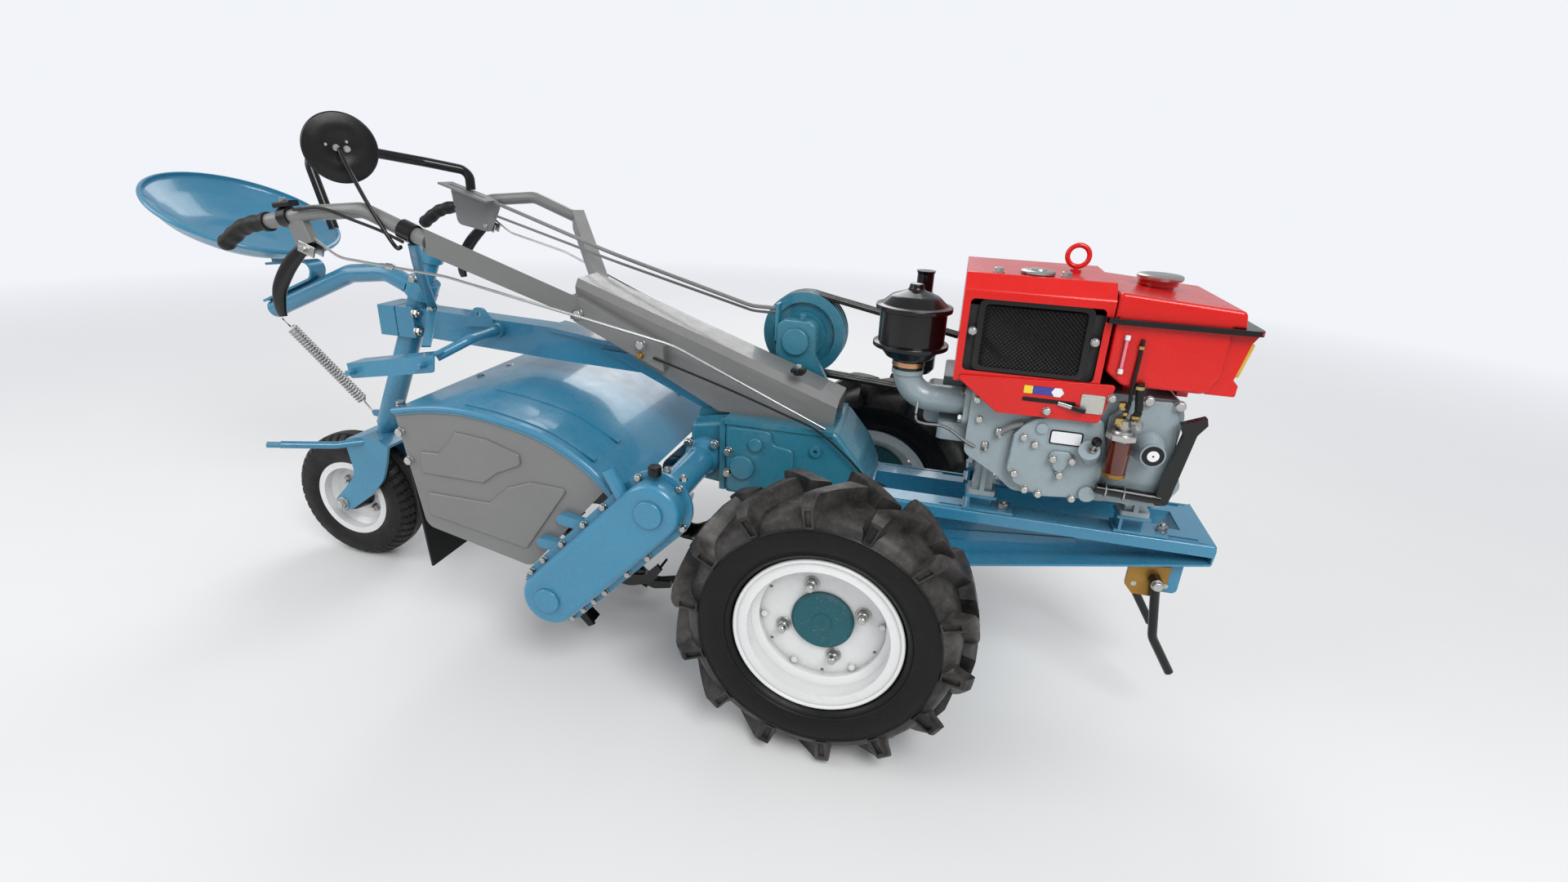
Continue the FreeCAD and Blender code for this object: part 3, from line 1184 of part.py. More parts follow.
def muffler():
    """Upright exhaust silencer behind the air cleaner."""
    low, high = MUFFLER_Z
    can = turned_z([(0, low), (MUFFLER_R - 10, low, 6), (MUFFLER_R, low + 12, 8), (MUFFLER_R, high - 14, 10),
                    (STACK_R + 6, high, 6), (STACK_R, high + 6, 3), (STACK_R, STACK_TOP - 8),
                    (STACK_R + 3, STACK_TOP),
                    (0, STACK_TOP)], MUFFLER_X, MUFFLER_Y)
    end = HEAD_REAR_X - SEAT_GAP
    pipe = bent_bar([(MUFFLER_X, MUFFLER_Y, low + 5), (MUFFLER_X, MUFFLER_Y, EXHAUST_Z),
                     (end, MUFFLER_Y, EXHAUST_Z)],
                    28, EXHAUST_R)
    return joined([can, pipe])


def grooves(x, z, radius):
    """The rings cut into a belt pulley for the belts."""
    cuts = []
    for number in range(BELT_COUNT):
        y = BELT_PLANE_Y + (number - (BELT_COUNT - 1) / 2) * BELT_PITCH
        low = radius - BELT_HEIGHT - GROOVE_SLACK
        half = BELT_WIDTH / 2 + GROOVE_SLACK
        cuts.append(ring_y(x, z, radius + 20, low, (y - half, y + half)))
    return cuts


def clutch_pulley():
    """Grooved clutch pulley with its dished face, hub and shaft."""
    near, far = BELT_PLANE_Y - BELT_STACK / 2, BELT_PLANE_Y + BELT_STACK / 2
    rim_r = CLUTCH_PULLEY_R - 26
    drum = turned([(near, 0), (near, 40), (near + 12, 46), (near + 12, rim_r), (near, rim_r),
                   (near, CLUTCH_PULLEY_R), (far, CLUTCH_PULLEY_R), (far, rim_r), (far - 16, rim_r),
                   (far - 16, 34), (far + 4, 30), (far + 4, 0)], CLUTCH_X, CLUTCH_Z)
    shaft = disc_y(CLUTCH_X, CLUTCH_Z, CLUTCH_SHAFT_R, (110, near + 1))
    return joined([drum, shaft]).cut(group(grooves(CLUTCH_X, CLUTCH_Z, CLUTCH_PULLEY_R)))


def clutch_casting():
    """Square clutch casting with its round cap and release arm, standing on the gearbox."""
    back = BELT_PLANE_Y - BELT_STACK / 2 - 6
    near = BEAM_HALF + 12
    half = CLUTCH_HALF
    square = [(CLUTCH_X - half, CLUTCH_Z - half), (CLUTCH_X + half, CLUTCH_Z - half),
              (CLUTCH_X + half, CLUTCH_Z + half), (CLUTCH_X - half, CLUTCH_Z + half)]
    body = softened(slab_y(square, (near, near + 40), 22), 5, (near,))
    barrel = disc_y(CLUTCH_X, CLUTCH_Z, half - 6, (near + 20, back))
    flange = disc_y(CLUTCH_X, CLUTCH_Z, half + 8, (back - 10, back))
    cap = softened(disc_y(CLUTCH_X, CLUTCH_Z, CLUTCH_CAP_R, (near - 10, near + 1)), 4, (near - 10,))
    leg = slab_y(CLUTCH_LEG, (near, BOX_HALF - 14))
    foot = box(CLUTCH_FOOT, (near, BOX_HALF - 12), (BOX_TOP, BOX_TOP + 10))
    breather = Part.makeCylinder(8, 16, V(CLUTCH_X + 10, near + 24, CLUTCH_Z + half - 2))
    arm = box(CLUTCH_ARM_X, CLUTCH_ARM_Y, (CLUTCH_Z + 4, CLUTCH_ARM_TOP))
    root = box((CLUTCH_ARM_X[0], CLUTCH_X - 30), CLUTCH_ARM_Y, (CLUTCH_Z - 4, CLUTCH_Z + 12))
    bore = disc_y(CLUTCH_X, CLUTCH_Z, CLUTCH_SHAFT_R + RUNNING_GAP, (109, back + 1))
    return joined([body, barrel, flange, cap, leg, foot, breather, arm, root]).cut(bore)


def flywheel():
    """Flywheel with its recessed face and the grooved engine pulley on it."""
    near = FLYWHEEL_NEAR_Y
    far = near + FLYWHEEL_WIDTH
    inner, outer, depth = FLYWHEEL_RECESS
    end = BELT_PLANE_Y + BELT_STACK / 2
    profile = [(BLOCK_FAR_Y - CRANK_SEAT + 1, 0), (BLOCK_FAR_Y - CRANK_SEAT + 1, CRANK_R), (near, CRANK_R),
               (near, inner), (near + depth, inner + 8), (near + depth, outer), (near, outer),
               (near, FLYWHEEL_R, 4),
               (far, FLYWHEEL_R, 4), (far, outer), (far - depth, outer), (far - depth, inner),
               (far, inner - 8),
               (far, ENGINE_PULLEY_R), (end, ENGINE_PULLEY_R), (end, 0)]
    return turned(profile, CRANK_X, CRANK_Z).cut(group(grooves(CRANK_X, CRANK_Z, ENGINE_PULLEY_R)))


def belt_loop(inset, y):
    """A plate bounded by the belt line round both pulleys."""
    small = ENGINE_PULLEY_R - inset
    large = CLUTCH_PULLEY_R - inset
    dx = CRANK_X - CLUTCH_X
    dz = CRANK_Z - CLUTCH_Z
    lean = math.asin((large - small) / math.hypot(dx, dz))
    base = math.atan2(dz, dx)
    corners = []
    for sign in (1, -1):
        angle = base + sign * (math.pi / 2 - lean)
        corners.append((CLUTCH_X + large * math.cos(angle), CLUTCH_Z + large * math.sin(angle)))
        corners.append((CRANK_X + small * math.cos(angle), CRANK_Z + small * math.sin(angle)))
    body = slab_y([corners[0], corners[1], corners[3], corners[2]], y)
    return joined([body, disc_y(CLUTCH_X, CLUTCH_Z, large, y), disc_y(CRANK_X, CRANK_Z, small, y)])


def belts():
    """The drive belts, one loop in each groove."""
    loops = []
    for number in range(BELT_COUNT):
        y = BELT_PLANE_Y + (number - (BELT_COUNT - 1) / 2) * BELT_PITCH
        span = (y - BELT_WIDTH / 2, y + BELT_WIDTH / 2)
        loops.append(belt_loop(0, span).cut(belt_loop(BELT_HEIGHT, (span[0] - 1, span[1] + 1))))
    return group(loops)


def fuel_filter():
    """Glass fuel filter bowl with its ring and tap, hung on the engine's side."""
    low, high = FILTER_Z
    bowl = turned_z([(0, low), (FILTER_R - 8, low, 6), (FILTER_R - 2, low + 10, 6), (FILTER_R - 1, high - 24),
                     (FILTER_R + 3, high - 24, 2), (FILTER_R + 3, high - 10, 2), (16, high - 8),
                     (14, high + 14, 3),
                     (0, high + 14)], FILTER_X, FILTER_Y)
    near = BLOCK_NEAR_Y - SIDE_COVER - SEAT_GAP
    stay = box((FILTER_X - 8, FILTER_X + 8), (FILTER_Y, near), (high - 6, high + 10))
    return joined([bowl, stay])


def crank_handle():
    """Starting handle stowed along the front of the engine in a wire clip."""
    (px, pz) = HANDLE_PEG
    z = HANDLE_SHAFT_Z
    near, far = HANDLE_ARM_Y
    middle = (near + far) / 2
    shaft = rod((FILTER_X - 14, middle, z + 6), (HANDLE_ARM_X, middle, z), HANDLE_SHAFT_R)
    arm = slab_y([(HANDLE_ARM_X - 14, z - 14, 8), (HANDLE_ARM_X + 14, z - 8, 8), (HANDLE_ARM_X + 34, pz - 36),
                  (px + 6, pz - 14), (px + 2, pz), (HANDLE_ARM_X + 2, pz - 18), (HANDLE_ARM_X + 12, pz - 40)],
                 (near, far))
    clip = box((FILTER_X - 6, FILTER_X + 34), (far - 8, BLOCK_NEAR_Y - SIDE_COVER - SEAT_GAP),
               (z - 8, z + 10))
    return joined([shaft, arm, clip])


def handle_beam():
    """Grey channel cover running up from the gearbox, chamfered along its top edges."""
    side = [BEAM_REAR, BEAM_FRONT, (BEAM_FRONT[0] - 8, BOX_TOP), (BEAM_BELLY[0], BOX_TOP), BEAM_HEEL]
    shell = slab_y(side, (-BEAM_HALF, BEAM_HALF))
    lean = math.atan2(BEAM_REAR[1] - BEAM_FRONT[1], BEAM_FRONT[0] - BEAM_REAR[0])

    def along_top(edge):
        bounds = edge.BoundBox
        return bounds.XLength > 600 and abs(bounds.YMin) > BEAM_HALF - 1 and bounds.ZMax > BEAM_REAR[1] - 1
    shell = shell.makeChamfer(BEAM_CHAMFER, [edge for edge in shell.Edges if along_top(edge)])
    drop = (BEAM_WALL + 10) / math.cos(lean)
    hollow = [(BEAM_REAR[0] - 20, BEAM_REAR[1] + 20 * math.tan(lean) - drop),
              (BEAM_FRONT[0] + 20, BEAM_FRONT[1] - 20 * math.tan(lean) - drop),
              (BEAM_FRONT[0] + 20, BOX_TOP - 10), (BEAM_BELLY[0], BOX_TOP - 10),
              (BEAM_HEEL[0] - 20, BEAM_HEEL[1] - 20)]
    half = BEAM_HALF - BEAM_WALL
    return shell.cut(slab_y(hollow, (-half, half)))


def handle_line():
    """The route of the left handle tube from its arm to the grip."""
    start = (ARM_END[0] + 10, HANDLE_HALF, ARM_END[1])
    return [start] + [(x, HANDLE_HALF, z) for x, z in HANDLE_RUN]


def handle_arm(side):
    """Box arm bolted to the beam and splayed out to the handle tube."""
    points = [(ARM_FRONT[0], ARM_Y, ARM_FRONT[1]), (ARM_BEND[0], ARM_Y, ARM_BEND[1]),
              (ARM_END[0], HANDLE_HALF, ARM_END[1])]
    straight = box_bar(points[0], points[1], ARM_HALF, ARM_HEIGHT)
    splay = box_bar(points[1], points[2], ARM_HALF + 4, ARM_HEIGHT - 10)
    knee_foot = V(ARM_BEND[0], ARM_Y, ARM_BEND[1] - ARM_HEIGHT / 2 + 3)
    knee = Part.makeCylinder(ARM_HALF, ARM_HEIGHT - 6, knee_foot)
    tube = bent_bar(handle_line(), BAR_BEND, BAR_R)
    return sided(joined([straight, knee, splay, tube]), side)


def grip(side):
    """Rubber grip on the end of the handle tube."""
    x, z = HANDLE_RUN[-1]
    line = [(x - SEAT_GAP, HANDLE_HALF, z)] + [(gx, HANDLE_HALF, gz) for gx, gz in GRIP_RUN]
    return sided(bent_bar(line, BAR_BEND, GRIP_R), side)


def hand_lever(side):
    """Curved steering lever below the grip with its bracket."""
    y = HANDLE_HALF
    rear, front = LEVER_BRACKET
    bracket = slab_y([(rear, 988, 8), (front, 996, 8), (front + 4, 1044), (rear - 4, 1038)], (y - 13, y + 13))
    lever = bent_bar([(x, y, z) for x, z in LEVER_RUN], 60, LEVER_R)
    tube = bent_bar(handle_line(), BAR_BEND, BAR_R + SEAT_GAP)
    return sided(joined([bracket, lever]).cut(tube), side)


def link_rod(side):
    """Thin rod from a hand lever's bracket down to the gearbox."""
    start = (LEVER_BRACKET[1] + 4 + SEAT_GAP, HANDLE_HALF, 1004)
    middle = [(x, HANDLE_HALF - inwards, z) for (x, z), inwards in zip(LINK_RUN, (4, 68))]
    return sided(bent_bar([start] + middle + LINK_FOOT, [60, 200, 200], LINK_ROD_R), side)


def post_point(share):
    """A point on the post's axis, 0 at its top and 1 at its foot."""
    return (POST_TOP[0] + share * (POST_FOOT[0] - POST_TOP[0]), 0,
            POST_TOP[1] + share * (POST_FOOT[1] - POST_TOP[1]))


def post_piece(first, last, radius):
    """A length of the post."""
    return rod(post_point(first), post_point(last), radius)


def tail_post():
    """Tail post with its neck and cap, bored for the fork's kingpin."""
    cap = post_piece(-0.03, 0.02, POST_CAP_R)
    post = joined([post_piece(0, 1, POST_NECK_R), post_piece(0.13, 1, POST_R), cap])
    bore = post_piece(0.6, 1.02, KINGPIN_R + RUNNING_GAP)
    x = POST_FOOT[0]
    tab = slab_y([(x + 14, 480), (x + 14, 452), (x - 44, 458, 6), (x - 48, 474, 6)], (-4, 4))
    slot = rod(*SPRING_HOOK, SPRING_WIRE_R + SEAT_GAP)
    return joined([post, tab]).cut(bore).cut(slot)


def tool_beam():
    """Box beam with the split post clamp at its rear end, pedal lug and struts."""
    half = TOOL_BEAM_HALF
    beam = slab_y(TOOL_BEAM_SIDE, (-half, half))
    blocks = []
    middle = (CLAMP_X[0] + CLAMP_X[1]) / 2
    for x in ((CLAMP_X[0], middle - CLAMP_SPLIT / 2), (middle + CLAMP_SPLIT / 2, CLAMP_X[1])):
        blocks.append(box(x, (-CLAMP_HALF, CLAMP_HALF), CLAMP_Z))
    bridge = box((middle - 10, middle + 10), (CLAMP_HALF - 10, CLAMP_HALF - 2),
                 (CLAMP_Z[0] + 10, CLAMP_Z[1] - 10))
    hole = post_piece(0.1, 0.6, POST_R + RUNNING_GAP)
    tab = slab_y(TAB_SIDE, (-half - TAB_WALL, -half + 1))
    lug = disc_y(*PEDAL_LUG, (-half - PEDAL_LUG_WALL, -half + 1))
    plate = slab_y(TOOL_PLATE, (-TOOL_PLATE_HALF, TOOL_PLATE_HALF))
    tab_hole = disc_y(*TAB_HOLE, TAB_HOLE_R, (-half - TAB_WALL - 1, 1 - half))
    body = joined([beam, bridge, mirrored(bridge), tab, lug, plate] + blocks + beam_struts())
    return body.cut(hole).cut(tab_hole)


def beam_struts():
    """Angled plates from the tool beam down to the tiller gearbox."""
    front, rear = TILLER_X + 25, TILLER_X - 24
    foot = [(front, cap_top(front) + 4), (front, cap_top(front) + SEAT_GAP), (rear, cap_top(rear) + SEAT_GAP)]
    return [slab_y(STRUT_TOP + foot, y) for y in both(TOOL_BEAM_HALF, TOOL_BEAM_HALF + STRUT_WALL)]


def pedal():
    """Foot pedal channel on its bar, with two round stops."""
    near, far = PEDAL_Y
    under = [(x, z - PEDAL_WALL) for x, z in PEDAL_TOP[::-1]]
    top = slab_y(PEDAL_TOP + under, (near, far))
    side = slab_y(PEDAL_TOP + PEDAL_LOW, (near, near + PEDAL_WALL))
    pins = [rod((x, near - PEDAL_PIN_REACH, z), (x, near + 2, z), PEDAL_PIN_R) for x, z in PEDAL_PINS]
    x, z, _ = PEDAL_LUG
    start = -TOOL_BEAM_HALF - PEDAL_LUG_WALL - SEAT_GAP
    bar = bent_bar([(x, start, z), (x, start - 104, z), (x - 52, far - 24, z - 34)], 30, PEDAL_BAR_R)
    return joined([top, side, bar] + pins)


def seat_bowl(inset):
    """The pan's bowl about its own axis, drawn in by a wall."""
    low = inset - SEAT_DEPTH
    wide = SEAT_R - inset
    if inset:
        top = [(wide, 12), (0, 12)]
    else:
        top = [(wide, 0), (0, 0)]
    return turned_z([(0, low), (wide - 100, low, 120), (wide - 34, low + 34, 60), (wide, -8, 10)] + top, 0, 0)


def seat_pan():
    """Pressed steel seat pan with a rolled edge, tilted up at the rear."""
    lip = Part.makeTorus(SEAT_R - 1, SEAT_LIP_R, V(0, 0, -2), AXIS_Z)
    outer = joined([seat_bowl(0), lip])
    inner = seat_bowl(SEAT_WALL)
    for shape in (outer, inner):
        shape.rotate(V(0, 0, 0), AXIS_Y, SEAT_TILT)
        shape.translate(V(SEAT_X, 0, SEAT_Z))
    (ax, az), (bx, bz) = spring_line()[-2:]
    rise = (bz - az) / (bx - ax)
    low = [(x, az + (x - ax) * rise + SPRING_LEAF / 2 + 2 * SEAT_GAP) for x in SEAT_PAD]
    pad = slab_y(low + [(x, SEAT_Z - SEAT_DEPTH) for x in SEAT_PAD[::-1]], (4 - SPRING_HALF, SPRING_HALF - 4))
    return outer.fuse(pad).cut(inner)


def spring_line():
    """The leaf spring's route, up from the seat tube and back under the pan."""
    (fx, fz), (rx, rz) = SEAT_TUBE[2:]
    slope = math.atan2(fz - rz, fx - rx)
    lift = SEAT_TUBE_R + SPRING_LEAF / 2 + SEAT_GAP
    rear = (rx - lift * math.sin(slope), rz + lift * math.cos(slope))
    bend = (rear[0] + SPRING_RUN * math.cos(slope), rear[1] + SPRING_RUN * math.sin(slope))
    return [rear, bend, (bend[0] + SPRING_RISE[0], bend[1] + SPRING_RISE[1]), SPRING_END]


def seat_spring():
    """Flat leaf spring that doubles back under the seat."""
    return bent_strip(spring_line(), SPRING_BEND, (-SPRING_HALF, SPRING_HALF), SPRING_LEAF)


def seat_tube():
    """Bent tube that carries the seat, with its collar on the post."""
    tube = bent_bar([(x, 0, z) for x, z in SEAT_TUBE], SEAT_TUBE_BEND, SEAT_TUBE_R)
    collar = post_piece(0.135, 0.22, POST_R + 9)
    plan = [(-1196, 838), (-1162, 852), (-1150, 822), (-1182, 808)]
    ears = [slab_y(plan, y, 6) for y in ((4, 12), (-12, -4))]
    return joined([tube, collar] + ears).cut(post_piece(0.1, 0.3, POST_R + RUNNING_GAP))


def coil_spring():
    """Extension spring from the seat tube to the post's foot."""
    coil = rod((-1640, 0, 690), (-1440, 0, 500), SPRING_COIL_R)
    hooks = [rod((-1668, 0, 716), (-1638, 0, 688), SPRING_WIRE_R), rod(*SPRING_HOOK, SPRING_WIRE_R)]
    return joined([coil] + hooks)


def tail_fork():
    """Swivelling fork with its kingpin, curved legs, axle pin and foot bars."""
    kingpin = post_piece(0.65, 1.12, KINGPIN_R)
    thrust = post_piece(1.001, 1.06, KINGPIN_R + 9)
    crown = slab_y(CROWN_SIDE, (-FORK_HALF, FORK_HALF))
    legs = [slab_y(FORK_LEG, y) for y in both(FORK_HALF - FORK_WALL, FORK_HALF)]
    axle = disc_y(TAIL_AXLE_X, TAIL_WHEEL_R, TAIL_PIN_R, (-FORK_HALF - 14, FORK_HALF + 14))
    bar = joined([bent_bar(FOOT_BAR, 30, FOOT_BAR_R), box_bar(*FOOT_REST, 13, 8)])
    return joined([kingpin, thrust, crown, axle, bar, mirrored(bar)] + legs)


def tail_tyre():
    """Small tyre of the tail wheel."""
    half = TAIL_WHEEL_HALF
    seat = TAIL_RIM_HALF - RIM_WALL - 2 * SEAT_GAP
    inner = TAIL_RIM_SEAT_R / math.cos(math.pi / TAIL_FACETS)
    outer = [(seat, inner), (seat, TAIL_RIM_R + 1), (half, 145), (half - 3, 174), (32, TAIL_WHEEL_R - 2)]
    profile = outer + [(0, TAIL_WHEEL_R)] + [(-y, r) for y, r in outer[::-1]]
    return faceted(profile, TAIL_AXLE_X, TAIL_WHEEL_R, TAIL_FACETS)


def tail_rim():
    """Pressed rim of the tail wheel with its hub."""
    half = TAIL_RIM_HALF
    seat = half - RIM_WALL - SEAT_GAP
    low = TAIL_RIM_SEAT_R - SEAT_GAP
    bore = TAIL_PIN_R + RUNNING_GAP
    hub_end = FORK_HALF - FORK_WALL - 9
    right = [(half, TAIL_RIM_R), (half, low - RIM_WALL), (18, low - RIM_WALL), (3, 84), (3, TAIL_HUB_R),
             (hub_end, 26), (hub_end, bore)]
    profile = [(seat, low), (seat, TAIL_RIM_R)] + right + [(-y, r) for y, r in right[::-1]] \
        + [(-seat, TAIL_RIM_R), (-seat, low)]
    return turned(profile, TAIL_AXLE_X, TAIL_WHEEL_R)


def console():
    """Slotted lever bracket beside the left tube with its long bars to the clutch arm."""
    y = console_cheek()
    cheek = slab_y(CONSOLE_SIDE, (y - CONSOLE_WALL, y))
    under = [(x - 1.4, z - 5) for x, z in CONSOLE_TOP[::-1]]
    top = slab_y(CONSOLE_TOP + under, (y - CONSOLE_DEPTH, y))
    slot = slab_y(CONSOLE_SLOT, (y - CONSOLE_SLOT_Y[1], y - CONSOLE_SLOT_Y[0]))
    end = CLUTCH_ARM_X[0] - SEAT_GAP
    strap, thin = [bent_bar([(x, y - inwards, z)] + middle + [(end, middle[-1][1], middle[-1][2])],
                            [200, 100], radius)
                   for x, inwards, z, middle, radius in CONSOLE_BARS]
    tube = bent_bar(handle_line(), BAR_BEND, BAR_R + SEAT_GAP)
    return joined([cheek, top.cut(slot), strap, thin]).cut(tube)


def console_cheek():
    """Outer face of the console, just inside the left handle tube."""
    return HANDLE_HALF - BAR_R - SEAT_GAP


def clutch_lever():
    """Bent main clutch lever standing on the console."""
    y = console_cheek() - 20
    (ax, az), (bx, bz) = CONSOLE_TOP
    foot = az + (CLUTCH_LEVER_X - CLUTCH_LEVER_R - ax) * (bz - az) / (bx - ax) + SEAT_GAP
    start = [(CLUTCH_LEVER_X, y, foot), (CLUTCH_LEVER_X, y, foot + 50)]
    return bent_bar(start + CLUTCH_LEVER_RUN, [30, 60, 60, 45], CLUTCH_LEVER_R)


def mirror():
    """Round mirror on its stalk, clamped to the right handle tube."""
    x, y, z = MIRROR
    head = Part.makeCylinder(MIRROR_R, MIRROR_DEPTH, V(x, y, z), V(-1, -0.2, 0))
    foot_x, foot_z = MIRROR_STALK
    route = [(x + 2, y, z), (foot_x - 12, y - 6, foot_z + 4), (foot_x, y - 10, foot_z)]
    stalk = bent_bar(route, 6, MIRROR_ROD_R)
    tube = mirrored(bent_bar(handle_line(), BAR_BEND, BAR_R + SEAT_GAP))
    half = BAR_R + 5
    clamp = box(MIRROR_CLAMP, (-HANDLE_HALF - half, half - HANDLE_HALF), (1030, 1068))
    return joined([head, stalk, clamp]).cut(tube)


PIECES = {
    "frame": frame,
    "front_stand": front_stand,
    "gearbox": gearbox,
    "axle_tube_left": lambda: axle_tube(1),
    "axle_tube_right": lambda: axle_tube(-1),
    "hub_left": lambda: hub(1),
    "hub_right": lambda: hub(-1),
    "rim_left": lambda: rim(1),
    "rim_right": lambda: rim(-1),
    "tyre_left": lambda: tyre(1),
    "tyre_right": lambda: tyre(-1),
    "tiller_gearbox": tiller_gearbox,
    "cross_tube": cross_tube,
    "chain_case": chain_case,
    "tiller_hood": tiller_hood,
    "side_plate_left": lambda: side_plate(1),
    "side_plate_right": lambda: side_plate(-1),
    "tiller_flap": tiller_flap,
    "end_bearing": end_bearing,
    "rotor": rotor,
    "engine_block": engine_block,
    "engine_mounts": engine_mounts,
    "gear_cover": gear_cover,
    "radiator_hood": radiator_hood,
    "lifting_eye": lifting_eye,
    "radiator": radiator,
    "fuel_tank": fuel_tank,
    "headlamp": headlamp,
    "lower_cover": lower_cover,
    "air_cleaner": air_cleaner,
    "intake_elbow": intake_elbow,
    "muffler": muffler,
    "clutch_pulley": clutch_pulley,
    "clutch_casting": clutch_casting,
    "flywheel": flywheel,
    "belts": belts,
    "fuel_filter": fuel_filter,
    "crank_handle": crank_handle,
    "handle_beam": handle_beam,
    "handle_arm_left": lambda: handle_arm(1),
    "handle_arm_right": lambda: handle_arm(-1),
    "grip_left": lambda: grip(1),
    "grip_right": lambda: grip(-1),
    "hand_lever_left": lambda: hand_lever(1),
    "hand_lever_right": lambda: hand_lever(-1),
    "link_rods": lambda: group([link_rod(1), link_rod(-1)]),
    "tail_post": tail_post,
    "tool_beam": tool_beam,
    "pedal": pedal,
    "seat_pan": seat_pan,
    "seat_spring": seat_spring,
    "seat_tube": seat_tube,
    "coil_spring": coil_spring,
    "tail_fork": tail_fork,
    "tail_tyre": tail_tyre,
    "tail_rim": tail_rim,
    "console": console,
    "clutch_lever": clutch_lever,
    "mirror": mirror,
}


def main():
    """Make every piece and write it, with the origin at the middle of the length."""
    shift = V((REAR_REACH - FRONT_REACH) / 2, 0, 0)
    os.makedirs("parts", exist_ok=True)
    for name, make in PIECES.items():
        shape = make()
        shape.translate(shift)
        shape.exportStep("parts/" + name + ".step")
        bounds = shape.BoundBox
        print(name, shape.isValid(), len(shape.Solids), [round(v) for v in
              (bounds.XMin, bounds.XMax, bounds.YMin, bounds.YMax, bounds.ZMin, bounds.ZMax)])


main()
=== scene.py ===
"""Looks of the walking tractor: finishes of its carried-over pieces and the small parts that dress them."""

import json
import logging
import math
from dataclasses import dataclass
from enum import Enum

import bmesh
import bpy
import numpy as np
from mathutils import Matrix, Vector


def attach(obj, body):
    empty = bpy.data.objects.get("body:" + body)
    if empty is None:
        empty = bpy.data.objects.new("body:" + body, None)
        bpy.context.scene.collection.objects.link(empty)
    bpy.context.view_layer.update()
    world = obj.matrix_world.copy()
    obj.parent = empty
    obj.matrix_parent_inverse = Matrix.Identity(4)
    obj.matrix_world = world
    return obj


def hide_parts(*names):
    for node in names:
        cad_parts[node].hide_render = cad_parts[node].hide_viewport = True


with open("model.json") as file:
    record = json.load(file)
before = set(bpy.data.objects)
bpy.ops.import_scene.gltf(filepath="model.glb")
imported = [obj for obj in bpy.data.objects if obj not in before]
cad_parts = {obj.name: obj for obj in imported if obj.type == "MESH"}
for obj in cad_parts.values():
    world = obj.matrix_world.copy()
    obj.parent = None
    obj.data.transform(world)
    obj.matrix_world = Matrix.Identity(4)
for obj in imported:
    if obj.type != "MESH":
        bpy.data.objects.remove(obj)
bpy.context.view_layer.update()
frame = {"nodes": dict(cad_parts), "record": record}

log = logging.getLogger("walking_tractor")

# Distance from the middle of the length to the drive axle, metres
AXLE_X = 0.571
Array = np.ndarray
Colour = tuple[float, float, float]
Point = tuple[float, float, float]


class Texture(Enum):
    """How a surface was made, which sets its relief."""

    SPRAYED = "sprayed"
    CAST = "cast"
    MOULDED = "moulded"
    PLATED = "plated"
    SMOOTH = "smooth"


